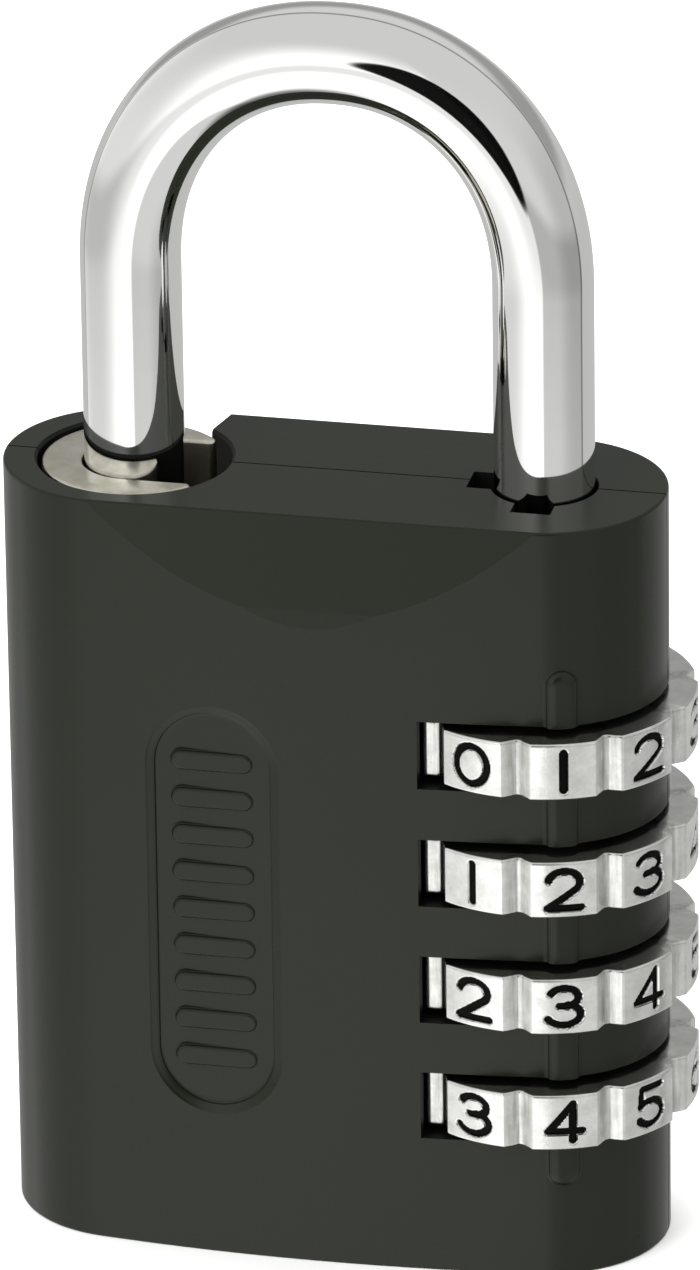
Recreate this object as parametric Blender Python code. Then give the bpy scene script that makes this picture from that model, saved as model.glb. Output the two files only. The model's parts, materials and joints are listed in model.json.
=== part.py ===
"""Four-dial combination padlock with a key release under the toe of its shackle.

The lock stands on its base: +Z up, front face towards -Y, the dial stack at +X.
Every length below is in millimetres; MM turns it into Blender's metres.
"""
import math

import bmesh
import bpy
from mathutils import Vector

MM = 0.001

# ---- driving dimensions ----------------------------------------------------------------
BODY_WIDTH = 43.3        # end to end, without the dials
BODY_HEIGHT = 52.4
BODY_DEPTH = 15.7        # at the two round ends and along the straight top edges
CROWN = 0.85             # how far the front and rear faces bulge beyond that depth
FACET_HEIGHT = 6.8       # the top of each face is cut back flat over this height
BODY_EDGE = 0.45         # rounding of the top and bottom edges
SEAM_GAP = 0.12          # between the two half shells, on the middle plane
BAR_DIAMETER = 6.5       # shackle steel
TOE_INSET = 8.5          # body's left end to the toe's axis
HEEL_INSET = 7.95        # body's right end to the heel's axis
BOW_SHOULDER = 13.7      # straight leg above the deck
BOW_RISE = 14.9          # shoulder to the crown of the bow, on the centre line
BOW_POWER = 2.12         # 2 is an ellipse; a little more squares the shoulders
TOE_DEPTH = 6.5          # toe below the deck when shut
LIFT = 7.6               # shackle travel
DIAL_COUNT = 4
DIAL_FACES = 10
DIAL_RADIUS = 9.8
DIAL_HEIGHT = 3.9
DIAL_PITCH = 8.27
DIAL_DROP = 13.8         # deck to the top of the highest dial
GROOVE_DEPTH = 0.65
GROOVE_HALF_ANGLE = 5.6  # degrees
INDEX_ANGLE = 18.0       # degrees from the front towards +X
INDEX_WIDTH = 2.0
INDEX_PROUD = 0.45
INDEX_TOP = 9.35         # deck to the upper end of the index bar
INDEX_BOTTOM = 6.45      # base to its lower end
WINDOW_INSET = 6.7       # heel axis to the flat left wall of each window
FIELD_WIDTH = 8.0        # sunk field on the front face
FIELD_HEIGHT = 28.1
FIELD_DEPTH = 0.3
FIELD_INSET = 15.15      # body's left end to the middle of the field
FIELD_MIDDLE = 24.5      # base to the middle of the field
CAM_RADIUS = 6.0
CAM_HEIGHT = 14.9
CAM_RECESS = 0.2         # cam top below the deck
SWING_GAP = 7.8          # width of the rear opening for the toe
FLOOR = 1.7              # floor under the heel
LUG_REACH = 1.25         # lugs beyond the bar's surface
LUG_WIDTH = 2.1
LUG_HEIGHT = 1.2
NOTCH_WIDTH = 2.6
FIN_HEIGHT = 5.4
TOP_PLATE = 1.6          # deck thickness over the turning room of the fin
SLEEVE_WALL = 0.65       # outside the lug slot
SLEEVE_HEIGHT = 4.6      # the part that blocks the lugs
CHANGE_TRAVEL = 1.2      # sleeves go down by this when the code is set
KEY_HEIGHT = 0.8
TOOTH_HEIGHT = 1.0
NECK_DEPTH = 0.95
STOP_PIN_RADIUS = 0.8
SHELL_PIN_RADIUS = 1.1
SHELL_PIN_LENGTH = 10.0
PLUG_RADIUS = 3.6
HOUSING_WALL = 1.4
HOUSING_HEIGHT = 22.0
BIBLE_REACH = 10.6       # toe axis to the end of the pin chambers
BIBLE_WIDTH = 3.8
PIN_PITCH = 4.0
FIRST_PIN = 5.5
PIN_RADIUS = 0.85
KEY_PIN_LENGTHS = (2.2, 3.0, 2.5, 1.9)
BALL_RADIUS = 0.8

# ---- clearances ------------------------------------------------------------------------
FIT = 0.3                # between pieces that only stand next to each other
PIN_FIT = 0.15           # dowels in their holes
DIAL_GAP = 0.4           # above and below a dial in its window
RUN_FIT = 0.15           # plug in its housing

# ---- derived places --------------------------------------------------------------------
BODY_X = (BODY_WIDTH / 2 - (BODY_WIDTH / 2 - HEEL_INSET) - DIAL_RADIUS) / 2
LEFT_END = BODY_X - BODY_WIDTH / 2
RIGHT_END = BODY_X + BODY_WIDTH / 2
TOE_X = LEFT_END + TOE_INSET
HEEL_X = RIGHT_END - HEEL_INSET
END_RADIUS = BODY_DEPTH / 2
END_SPAN = BODY_WIDTH / 2 - END_RADIUS
BAR = BAR_DIAMETER / 2
DIAL_Z = [BODY_HEIGHT - DIAL_DROP - DIAL_HEIGHT / 2 - k * DIAL_PITCH for k in range(DIAL_COUNT)]
WINDOW_HEIGHT = DIAL_HEIGHT + 2 * DIAL_GAP
POCKET_RADIUS = DIAL_RADIUS + FIT
LUG_END = BAR + LUG_REACH
SLOT_END = LUG_END + 0.2
SLEEVE_BORE = BAR + FIT
SLEEVE_RADIUS = SLOT_END + SLEEVE_WALL + 0.15
SKIRT_BOTTOM = -(DIAL_PITCH - SLEEVE_HEIGHT / 2) + FIT
KEY_END = SLEEVE_RADIUS + 0.85
DIAL_BORE = SLEEVE_RADIUS + 0.4
NOTCH_END = KEY_END + 0.25
CHAMBER_RADIUS = SLEEVE_RADIUS + FIT
LUG_DROP = CHANGE_TRAVEL + FIT    # room between a sleeve and the lug under it
LUG_Z = [z - SLEEVE_HEIGHT / 2 - LUG_DROP - LUG_HEIGHT for z in DIAL_Z]
CHAMBER_TOP = LUG_Z[0] + LIFT + LUG_HEIGHT + 0.4
FIN_Z = BODY_HEIGHT + 0.2 - LIFT
HEEL_HOLE = BAR + 0.4
STOP_Z = CHAMBER_TOP + STOP_PIN_RADIUS + 0.7
HEEL_FOOT = LUG_Z[-1] - 2.8
CAM_BOTTOM = BODY_HEIGHT - CAM_RECESS - CAM_HEIGHT
SLOT_FLOOR = BODY_HEIGHT - TOE_DEPTH - 0.7
HOUSING_RADIUS = PLUG_RADIUS + RUN_FIT + HOUSING_WALL
HOUSING_TOP = 0.35 + HOUSING_HEIGHT
POCKET_EDGE = HEEL_X - POCKET_RADIUS
COLUMN_X = (TOE_X + BIBLE_REACH + FIT + POCKET_EDGE) / 2


# ---- mesh helpers ----------------------------------------------------------------------
def clear_scene():
    for obj in list(bpy.data.objects):
        bpy.data.objects.remove(obj, do_unlink=True)


def material(name, color, metallic, roughness):
    found = bpy.data.materials.get(name)
    if found:
        return found
    made = bpy.data.materials.new(name)
    made.use_nodes = True
    shader = made.node_tree.nodes["Principled BSDF"]
    shader.inputs["Base Color"].default_value = (*color, 1.0)
    shader.inputs["Metallic"].default_value = metallic
    shader.inputs["Roughness"].default_value = roughness
    return made


def finish_of(kind):
    """Material settings by piece family: colour, metallic, roughness."""
    return {
        "shell": ("black_lacquer", (0.045, 0.047, 0.042), 0.0, 0.35),
        "chrome": ("shackle_chrome", (0.80, 0.80, 0.80), 1.0, 0.06),
        "dial": ("dial_nickel", (0.72, 0.72, 0.70), 1.0, 0.28),
        "cam": ("cam_nickel", (0.60, 0.60, 0.58), 1.0, 0.35),
        "steel": ("plain_steel", (0.45, 0.45, 0.46), 1.0, 0.35),
        "brass": ("brass", (0.70, 0.52, 0.24), 1.0, 0.30),
        "spring": ("spring_steel", (0.38, 0.38, 0.40), 1.0, 0.30),
    }[kind]


def add_object(name, mesh, kind=None, at=(0.0, 0.0, 0.0)):
    obj = bpy.data.objects.new(name, mesh)
    bpy.context.scene.collection.objects.link(obj)
    obj.location = Vector(at) * MM
    if kind:
        mesh.materials.clear()
        mesh.materials.append(material(*finish_of(kind)))
    return obj


def ring_mesh(name, rings, smooth=True):
    """A closed solid skinned over equal rings of points, with a face on each end."""
    bm = bmesh.new()
    rows = [[bm.verts.new(Vector(p) * MM) for p in ring] for ring in rings]
    count = len(rows[0])
    for low, high in zip(rows, rows[1:]):
        for i in range(count):
            j = (i + 1) % count
            bm.faces.new((low[i], low[j], high[j], high[i]))
    bm.faces.new(list(reversed(rows[0])))
    bm.faces.new(rows[-1])
    bmesh.ops.recalc_face_normals(bm, faces=bm.faces)
    mesh = bpy.data.meshes.new(name)
    bm.to_mesh(mesh)
    bm.free()
    if smooth:
        mesh.shade_smooth()
        mesh.set_sharp_from_angle(angle=math.radians(35))
    return mesh


def circle(radius, count, x=0.0, y=0.0):
    step = 2 * math.pi / count
    return [(x + radius * math.cos(i * step), y + radius * math.sin(i * step)) for i in range(count)]


def prism_mesh(name, outline, low, high):
    """An outline in X and Y, extruded from z = low to z = high."""
    return ring_mesh(name, [[(x, y, z) for x, y in outline] for z in (low, high)])


def box_mesh(name, low, high):
    (x0, y0, z0), (x1, y1, z1) = low, high
    return prism_mesh(name, [(x0, y0), (x1, y0), (x1, y1), (x0, y1)], z0, z1)


def turned_mesh(name, profile, count):
    """Rings about the local Z axis, from (radius, z) pairs."""
    return ring_mesh(name, [[(x, y, z) for x, y in circle(r, count)] for r, z in profile])


def boolean(target, tool, operation="DIFFERENCE"):
    mod = target.modifiers.new(f"{operation.lower()}_{tool.name}", "BOOLEAN")
    mod.operation = operation
    mod.solver = "EXACT"
    mod.object = tool


def tool_object(name, mesh, at=(0.0, 0.0, 0.0), turn=(0.0, 0.0, 0.0)):
    """A hidden solid that only cuts or joins other pieces."""
    obj = add_object(name, mesh, at=at)
    obj.rotation_euler = turn
    obj.hide_render = True
    obj.display_type = "WIRE"
    return obj


def coil_mesh(name, radius, wire, low, high, turns, per_turn=8, sides=5):
    """A round-wire coil about Z; low and high are the ends of its outer envelope."""
    steps = int(turns * per_turn)
    rise = (high - low - 2 * wire) / steps
    rings = []
    for i in range(steps + 1):
        a = 2 * math.pi * i / per_turn
        z = low + wire + i * rise
        out = Vector((math.cos(a), math.sin(a), 0.0))
        rings.append([
            out * (radius + wire * math.cos(b)) + Vector((0, 0, z + wire * math.sin(b)))
            for b in (2 * math.pi * s / sides for s in range(sides))
        ])
    return ring_mesh(name, rings)


# ---- body shells -----------------------------------------------------------------------
def crown_circle():
    """Radius and centre offset of the big arc that is tangent to both end circles."""
    shift = (END_SPAN ** 2 + CROWN ** 2) / (2 * CROWN)
    return shift + END_RADIUS, shift - CROWN


def body_outline(inset=0.0, half_depth=None, arc_steps=7, face_steps=14):
    """The crowned stadium seen from above, pulled in by inset and cut flat at half_depth."""
    big, offset = crown_circle()
    lean = math.atan2(END_SPAN, offset)
    start = math.pi / 2 - lean
    quarter = []
    for i in range(face_steps // 2 + 1):
        a = math.pi / 2 - lean * i / (face_steps // 2)
        quarter.append(((big - inset) * math.cos(a), (big - inset) * math.sin(a) - offset))
    for i in range(1, arc_steps + 1):
        a = start * (1 - i / arc_steps)
        quarter.append((END_SPAN + (END_RADIUS - inset) * math.cos(a), (END_RADIUS - inset) * math.sin(a)))
    if half_depth is not None:
        quarter = [(x, min(y, half_depth)) for x, y in quarter]
    right_top = quarter
    left_top = [(-x, y) for x, y in reversed(quarter[1:])]
    top = left_top + right_top
    bottom = [(x, -y) for x, y in reversed(top[1:-1])]
    return [(BODY_X + x, y) for x, y in reversed(top + bottom)]


def facet_half_depth(z):
    """Half depth of the flat facet at height z; it meets the crown's middle at its foot."""
    foot = BODY_HEIGHT - FACET_HEIGHT
    top_half = END_RADIUS - 0.05
    slope = (END_RADIUS + CROWN - top_half) / (FACET_HEIGHT - BODY_EDGE)
    return END_RADIUS + CROWN - slope * max(0.0, z - foot)


def body_block(name):
    corner = [(BODY_EDGE * (1 - math.sin(a)), BODY_EDGE * (1 - math.cos(a)))
              for a in (0.0, math.pi / 4, math.pi / 2)]
    levels = [(z, inset) for inset, z in corner]
    foot = BODY_HEIGHT - FACET_HEIGHT
    facet_steps = 5
    shoulder = BODY_HEIGHT - BODY_EDGE
    levels += [(foot + (shoulder - foot) * i / facet_steps, 0.0) for i in range(facet_steps)]
    levels += [(BODY_HEIGHT - z, inset) for inset, z in reversed(corner)]
    rings = []
    for z, inset in levels:
        limit = facet_half_depth(min(z, shoulder)) - inset if z > foot else None
        rings.append([(x, y, z) for x, y in body_outline(inset, limit)])
    return ring_mesh(name, rings)


def field_tool():
    """Cutter for the sunk field; its floor follows the crowned face."""
    big, offset = crown_circle()
    half, radius = FIELD_HEIGHT / 2 - FIELD_WIDTH / 2, FIELD_WIDTH / 2
    rings = []
    steps = 12
    for i in range(steps + 1):
        a = math.pi * (1 - i / steps)
        x = LEFT_END + FIELD_INSET + radius * math.cos(a)
        reach = half + radius * math.sin(a)
        floor = -(math.sqrt(big ** 2 - (x - BODY_X) ** 2) - offset - FIELD_DEPTH)
        low, high = FIELD_MIDDLE - reach, FIELD_MIDDLE + reach
        rings.append([(x, -BODY_DEPTH, low), (x, -BODY_DEPTH, high), (x, floor, high), (x, floor, low)])
    return tool_object("cut_field", ring_mesh("cut_field", rings))


def index_bar_tool():
    """A round-ended upright bar on the end radius, joined to the front shell."""
    half = INDEX_WIDTH / 2
    low, high = INDEX_BOTTOM + half, BODY_HEIGHT - INDEX_TOP - half
    outline = [(half * math.cos(a), high + half * math.sin(a)) for a in
               (math.pi * i / 6 for i in range(7))]
    outline += [(-half * math.cos(a), low - half * math.sin(a)) for a in
                (math.pi * i / 6 for i in range(7))]
    near, far = END_RADIUS - 1.0, END_RADIUS + INDEX_PROUD
    rings = [[(x, -r, z) for x, z in outline] for r in (near, far)]
    turn = (0.0, 0.0, math.radians(INDEX_ANGLE))
    at = (BODY_X + END_SPAN, 0.0, 0.0)
    return tool_object("join_index_bar", ring_mesh("join_index_bar", rings), at, turn)


def cavity_tools():
    """Every hollow that both shells share, as hidden cutters."""
    top = BODY_HEIGHT + 5.0
    tools = [
        ("cut_cam_seat", prism_mesh("cut_cam_seat", circle(CAM_RADIUS + FIT, 32, TOE_X),
                                    CAM_BOTTOM - FIT, top)),
        ("cut_driver_bore", prism_mesh("cut_driver_bore", circle(2.6, 16, TOE_X),
                                       HOUSING_TOP, CAM_BOTTOM)),
        ("cut_cylinder", prism_mesh("cut_cylinder", circle(HOUSING_RADIUS + FIT, 28, TOE_X),
                                    -2.0, HOUSING_TOP + 2.0)),
        ("cut_bible", box_mesh("cut_bible", (TOE_X, -BIBLE_WIDTH / 2 - FIT, 2.2),
                               (TOE_X + BIBLE_REACH + FIT, BIBLE_WIDTH / 2 + FIT, HOUSING_TOP + FIT))),
        ("cut_heel_chamber", prism_mesh("cut_heel_chamber", circle(CHAMBER_RADIUS, 28, HEEL_X),
                                        FLOOR, CHAMBER_TOP)),
        ("cut_heel_hole", prism_mesh("cut_heel_hole", circle(HEEL_HOLE, 24, HEEL_X),
                                     FLOOR + 1.0, top)),
        ("cut_fin_room", prism_mesh("cut_fin_room", circle(LUG_END + 0.45, 24, HEEL_X),
                                    FIN_Z - 0.5, BODY_HEIGHT - TOP_PLATE)),
        ("cut_side_notch", box_mesh("cut_side_notch", (HEEL_X - LUG_END - 0.35, -NOTCH_WIDTH / 2, FIN_Z),
                                    (HEEL_X, NOTCH_WIDTH / 2, top))),
        ("cut_front_notch", box_mesh("cut_front_notch", (HEEL_X - NOTCH_WIDTH / 2, -LUG_END - 0.2, FIN_Z),
                                     (HEEL_X + NOTCH_WIDTH / 2, 0.0, top))),
    ]
    made = [tool_object(name, mesh) for name, mesh in tools]
    for k, z in enumerate(DIAL_Z, 1):
        low, high = z - WINDOW_HEIGHT / 2, z + WINDOW_HEIGHT / 2
        reach = DIAL_RADIUS + 5.0
        outline = [(HEEL_X - WINDOW_INSET, -reach), (HEEL_X + reach, -reach),
                   (HEEL_X + reach, reach), (HEEL_X - WINDOW_INSET, reach)]
        made.append(tool_object(f"cut_window_{k}", prism_mesh(f"cut_window_{k}", outline, low, high)))
        pocket = prism_mesh(f"cut_pocket_{k}", circle(POCKET_RADIUS, 40, HEEL_X), low, high)
        made.append(tool_object(f"cut_pocket_{k}", pocket))
    made.append(cross_bore("cut_stop_pin", STOP_PIN_RADIUS + PIN_FIT, 5.8, stop_pin_x(), STOP_Z))
    for k, (x, z) in enumerate(shell_pin_places(), 1):
        made.append(cross_bore(f"cut_shell_pin_{k}", SHELL_PIN_RADIUS + PIN_FIT,
                               SHELL_PIN_LENGTH / 2 + FIT, x, z))
    return made


def cross_bore(name, radius, half_length, x, z):
    """A cutter along Y."""
    mesh = turned_mesh(name, [(radius, -half_length), (radius, half_length)], 14)
    return tool_object(name, mesh, (x, 0.0, z), (math.pi / 2, 0.0, 0.0))


def stop_pin_x():
    return HEEL_X + BAR - NECK_DEPTH + FIT + STOP_PIN_RADIUS


def shell_pin_places():
    """Two pins between the dial clicks, one in the deck and one near the base."""
    between = [(DIAL_Z[0] + DIAL_Z[1]) / 2, (DIAL_Z[2] + DIAL_Z[3]) / 2]
    return [(COLUMN_X, 4.2), (COLUMN_X, between[1]), (COLUMN_X, between[0]),
            (COLUMN_X + 2.0, BODY_HEIGHT - 5.9)]


def swing_gap_tool():
    """The opening behind the toe, wider on the heel side where the toe swings out on its arc."""
    half = SWING_GAP / 2
    far = END_RADIUS + CROWN + 1.0
    outline = [(TOE_X - half, 0.0), (TOE_X + half, 0.0), (TOE_X + half, 4.6),
               (TOE_X + half + 1.2, far), (TOE_X - half, far)]
    return tool_object("cut_swing_gap", prism_mesh("cut_swing_gap", outline, SLOT_FLOOR,
                                                   BODY_HEIGHT + 5.0))


def click_direction():
    """Unit vector of each dial's click ball, from the dial axis: a groove on the rear left."""
    a = math.radians(180.0 - 18.0)
    return Vector((math.cos(a), math.sin(a), 0.0))


def radial_turn(direction):
    """Euler turn that lays a local +Z piece along a level direction."""
    return (0.0, math.pi / 2, math.atan2(direction.y, direction.x))


def make_shells():
    tools = cavity_tools()
    half = BODY_WIDTH + 20.0
    front = add_object("front_shell", body_block("front_shell"), "shell")
    rear = add_object("rear_shell", body_block("rear_shell"), "shell")
    boolean(front, index_bar_tool(), "UNION")
    boolean(front, tool_object("cut_rear_half", box_mesh(
        "cut_rear_half", (-half, -SEAM_GAP / 2, -5.0), (half, half, BODY_HEIGHT + 10.0))))
    boolean(rear, tool_object("cut_front_half", box_mesh(
        "cut_front_half", (-half, -half, -5.0), (half, SEAM_GAP / 2, BODY_HEIGHT + 10.0))))
    for tool in tools:
        boolean(front, tool)
        boolean(rear, tool)
    boolean(front, field_tool())
    boolean(rear, swing_gap_tool())
    out = click_direction()
    for k, z in enumerate(DIAL_Z, 1):
        near, far = DIAL_RADIUS - 0.3, DIAL_RADIUS + 5.4
        mesh = turned_mesh(f"cut_click_{k}", [(BALL_RADIUS + PIN_FIT, near), (BALL_RADIUS + PIN_FIT, far)], 12)
        boolean(rear, tool_object(f"cut_click_{k}", mesh, (HEEL_X, 0.0, z), radial_turn(out)))


def make_pins():
    for k, (x, z) in enumerate(shell_pin_places(), 1):
        half = SHELL_PIN_LENGTH / 2
        edge = 0.25
        profile = [(SHELL_PIN_RADIUS - edge, -half), (SHELL_PIN_RADIUS, -half + edge),
                   (SHELL_PIN_RADIUS, half - edge), (SHELL_PIN_RADIUS - edge, half)]
        pin = add_object(f"shell_pin_{k}", turned_mesh(f"shell_pin_{k}", profile, 12), "steel", (x, 0.0, z))
        pin.rotation_euler = (math.pi / 2, 0.0, 0.0)
    stop = turned_mesh("shackle_stop_pin", [(STOP_PIN_RADIUS, -5.5), (STOP_PIN_RADIUS, 5.5)], 12)
    pin = add_object("shackle_stop_pin", stop, "steel", (stop_pin_x(), 0.0, STOP_Z))
    pin.rotation_euler = (math.pi / 2, 0.0, 0.0)


# ---- shackle ---------------------------------------------------------------------------
def shackle_stations():
    """Centre, direction and radius of each ring, from the toe's foot round to the heel's bore."""
    up, down = Vector((0, 0, 1)), Vector((0, 0, -1))
    edge = 0.6
    toe_foot = BODY_HEIGHT - TOE_DEPTH
    shoulder = BODY_HEIGHT + BOW_SHOULDER
    stations = [(Vector((TOE_X, 0, toe_foot)), up, BAR - edge),
                (Vector((TOE_X, 0, toe_foot + edge)), up, BAR)]
    middle, half = (TOE_X + HEEL_X) / 2, (HEEL_X - TOE_X) / 2
    steps = 26

    def on_bow(t):
        c, s = math.cos(t), math.sin(t)
        x = middle - half * math.copysign(abs(c) ** (2 / BOW_POWER), c)
        return Vector((x, 0, shoulder + BOW_RISE * abs(s) ** (2 / BOW_POWER)))

    for i in range(steps + 1):
        t = math.pi * i / steps
        if i in (0, steps):
            direction = up if i == 0 else down
        else:
            direction = (on_bow(t + 0.01) - on_bow(t - 0.01)).normalized()
        stations.append((on_bow(t), direction, BAR))
    neck_top = STOP_Z + STOP_PIN_RADIUS + FIT
    neck_bottom = STOP_Z - STOP_PIN_RADIUS - LIFT - FIT
    foot_bore = 0.65 * BAR
    heel = [(neck_top, BAR), (neck_top, BAR - NECK_DEPTH), (neck_bottom, BAR - NECK_DEPTH),
            (neck_bottom, BAR), (HEEL_FOOT + edge, BAR), (HEEL_FOOT, BAR - edge),
            (HEEL_FOOT, foot_bore), (heel_bore_top(), foot_bore)]
    stations += [(Vector((HEEL_X, 0, z)), down, radius) for z, radius in heel]
    return stations


def heel_bore_top():
    return HEEL_FOOT + 12.0


def make_shackle():
    sides = 20
    rings = []
    for centre, direction, radius in shackle_stations():
        across = Vector((direction.z, 0, -direction.x))
        rings.append([
            centre + radius * (math.cos(a) * across + math.sin(a) * Vector((0, 1, 0)))
            for a in (2 * math.pi * i / sides for i in range(sides))
        ])
    shackle = add_object("shackle", ring_mesh("shackle", rings), "chrome")
    lugs = [(z, LUG_HEIGHT) for z in LUG_Z] + [(FIN_Z, FIN_HEIGHT)]
    for k, (z, height) in enumerate(lugs, 1):
        mesh = box_mesh(f"join_lug_{k}", (-LUG_END, -LUG_WIDTH / 2, 0.0), (-BAR * 0.75, LUG_WIDTH / 2, height))
        boolean(shackle, tool_object(f"join_lug_{k}", mesh, (HEEL_X, 0.0, z)), "UNION")
    low = FLOOR + FIT
    cap_top = heel_bore_top() - FIT
    cap_radius = 0.65 * BAR - FIT
    cap = [(cap_radius, cap_top - 0.6), (cap_radius, cap_top)]
    add_object("spring_cap", turned_mesh("spring_cap", cap, 14), "steel", (HEEL_X, 0.0, 0.0))
    coil = coil_mesh("shackle_spring", 0.65 * BAR - 0.65, 0.25, low, cap_top - 0.6 - FIT, 10)
    add_object("shackle_spring", coil, "spring", (HEEL_X, 0.0, 0.0))


# ---- dials and clutch sleeves ----------------------------------------------------------
def dial_outline():
    """Ten rounded faces with a V groove between neighbours; a face is centred on the index."""
    points = []
    step = 360.0 / DIAL_FACES
    half = step / 2 - GROOVE_HALF_ANGLE
    for k in range(DIAL_FACES):
        middle = -90.0 + INDEX_ANGLE + k * step
        for a in (-half, -half / 3, half / 3, half):
            points.append((DIAL_RADIUS, math.radians(middle + a)))
        points.append((DIAL_RADIUS - GROOVE_DEPTH, math.radians(middle + step / 2 - 1.2)))
        points.append((DIAL_RADIUS - GROOVE_DEPTH, math.radians(middle + step / 2 + 1.2)))
    return points


def dial_mesh(name):
    edge = 0.25
    half = DIAL_HEIGHT / 2
    rings = []
    for z, inset in ((-half, edge), (-half + edge, 0.0), (half - edge, 0.0), (half, edge)):
        rings.append([((r - inset) * math.cos(a), (r - inset) * math.sin(a), z) for r, a in dial_outline()])
    return ring_mesh(name, rings)


def tooth_outline():
    """The toothed bore: one notch per digit, with one notch on +X."""
    half = math.degrees((0.8 + 0.25) / NOTCH_END)
    points = []
    for k in range(DIAL_FACES):
        middle = 36.0 * k
        for a in (-half, half):
            points.append((NOTCH_END, math.radians(middle + a)))
        for a in (half + 0.3, 18.0, 36.0 - half - 0.3):
            points.append((DIAL_BORE, math.radians(middle + a)))
    return [(r * math.cos(a), r * math.sin(a)) for r, a in points]


def make_dials():
    half = DIAL_HEIGHT / 2
    flange = half - TOOTH_HEIGHT
    for k, z in enumerate(DIAL_Z, 1):
        at = (HEEL_X, 0.0, z)
        dial = add_object(f"dial_{k}", dial_mesh(f"dial_{k}"), "dial", at)
        wide = prism_mesh(f"cut_dial_wide_{k}", circle(NOTCH_END + 0.1, 30), -half - 1.0, flange)
        toothed = prism_mesh(f"cut_dial_teeth_{k}", tooth_outline(), flange - 0.5, half + 1.0)
        boolean(dial, tool_object(f"cut_dial_wide_{k}", wide, at))
        boolean(dial, tool_object(f"cut_dial_teeth_{k}", toothed, at))
        make_sleeve(k, at, half)
        make_click(k, z)


def make_sleeve(k, at, half_dial):
    half = SLEEVE_HEIGHT / 2
    sleeve = prism_mesh(f"clutch_sleeve_{k}", circle(SLEEVE_RADIUS, 24), SKIRT_BOTTOM, half)
    sleeve = add_object(f"clutch_sleeve_{k}", sleeve, "brass", at)
    key_top = half_dial - 0.1
    key = box_mesh(f"join_key_{k}", (SLEEVE_RADIUS * 0.9, -0.8, key_top - KEY_HEIGHT), (KEY_END, 0.8, key_top))
    boolean(sleeve, tool_object(f"join_key_{k}", key, at), "UNION")
    bore = prism_mesh(f"cut_bore_{k}", circle(SLEEVE_BORE, 20), -half - 1.0, half + 1.0)
    skirt = prism_mesh(f"cut_skirt_{k}", circle(SLOT_END, 20), SKIRT_BOTTOM - 1.0, -half)
    slot = box_mesh(f"cut_slot_{k}", (-SLOT_END, -LUG_WIDTH / 2 - FIT, -half - 1.0),
                    (0.0, LUG_WIDTH / 2 + FIT, half + 1.0))
    for name, mesh in ((f"cut_bore_{k}", bore), (f"cut_skirt_{k}", skirt), (f"cut_slot_{k}", slot)):
        boolean(sleeve, tool_object(name, mesh, at))


def make_click(k, z):
    """Spring ball that clicks in the dial's grooves, shown at the height of a face."""
    out = click_direction()
    centre = Vector((HEEL_X, 0.0, z)) + out * (DIAL_RADIUS + PIN_FIT + BALL_RADIUS)
    bm = bmesh.new()
    bmesh.ops.create_icosphere(bm, subdivisions=2, radius=BALL_RADIUS * MM)
    mesh = bpy.data.meshes.new(f"click_ball_{k}")
    bm.to_mesh(mesh)
    bm.free()
    mesh.shade_smooth()
    add_object(f"click_ball_{k}", mesh, "steel", centre)
    low = DIAL_RADIUS + PIN_FIT + 2 * BALL_RADIUS + 0.1
    coil = coil_mesh(f"click_spring_{k}", 0.55, 0.14, low, DIAL_RADIUS + 5.2, 5, 7, 4)
    spring = add_object(f"click_spring_{k}", coil, "spring", (HEEL_X, 0.0, z))
    spring.rotation_euler = radial_turn(out)


def make_reset():
    """Return spring and washer under the stack of sleeves."""
    stack_bottom = DIAL_Z[-1] + SKIRT_BOTTOM
    high = stack_bottom - FIT
    low = high - 0.5
    washer = prism_mesh("reset_washer", circle(SLEEVE_RADIUS, 24), low, high)
    washer = add_object("reset_washer", washer, "steel", (HEEL_X, 0.0, 0.0))
    bore = prism_mesh("cut_washer", circle(BAR + FIT, 20), low - 1.0, high + 1.0)
    boolean(washer, tool_object("cut_washer", bore, (HEEL_X, 0.0, 0.0)))
    wire = 0.3
    coil = coil_mesh("reset_spring", SLEEVE_RADIUS - wire - 0.2, wire, FLOOR + FIT, low - FIT, 2.5, 12, 5)
    add_object("reset_spring", coil, "spring", (HEEL_X, 0.0, 0.0))


# ---- key release -----------------------------------------------------------------------
def make_cam():
    """C-shaped cam round the toe; its slot faces the heel when locked."""
    top = BODY_HEIGHT - CAM_RECESS
    cam = add_object("toe_cam", prism_mesh("toe_cam", circle(CAM_RADIUS, 32), CAM_BOTTOM, top), "cam",
                     (TOE_X, 0.0, 0.0))
    half = BAR + PIN_FIT
    slot = [(0.0, -half), (CAM_RADIUS + 2, -half), (CAM_RADIUS + 2, half), (0.0, half)]
    slot += [(half * math.cos(a), half * math.sin(a)) for a in
             (math.pi / 2 + math.pi * i / 10 for i in range(1, 10))]
    tools = {
        "cut_cam_slot": prism_mesh("cut_cam_slot", slot, SLOT_FLOOR, top + 2.0),
        "cut_cam_socket": box_mesh("cut_cam_socket", (-2.3, -0.9, CAM_BOTTOM - 1.0), (2.3, 0.9, CAM_BOTTOM + 2.4)),
    }
    for name, mesh in tools.items():
        boolean(cam, tool_object(name, mesh, (TOE_X, 0.0, 0.0)))
    low, high = HOUSING_TOP + 1.9, CAM_BOTTOM - 0.4
    driver = turned_mesh("cam_driver", [(2.2, low), (2.2, high)], 16)
    driver = add_object("cam_driver", driver, "steel", (TOE_X, 0.0, 0.0))
    blades = {
        "join_upper_blade": box_mesh("join_upper_blade", (-1.9, -0.6, high - 0.5), (1.9, 0.6, CAM_BOTTOM + 2.0)),
        "join_lower_blade": box_mesh("join_lower_blade", (-1.9, -0.6, HOUSING_TOP + 0.5), (1.9, 0.6, low + 0.5)),
    }
    for name, mesh in blades.items():
        boolean(driver, tool_object(name, mesh, (TOE_X, 0.0, 0.0)), "UNION")


def pin_heights():
    return [FIRST_PIN + PIN_PITCH * i for i in range(len(KEY_PIN_LENGTHS))]


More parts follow.
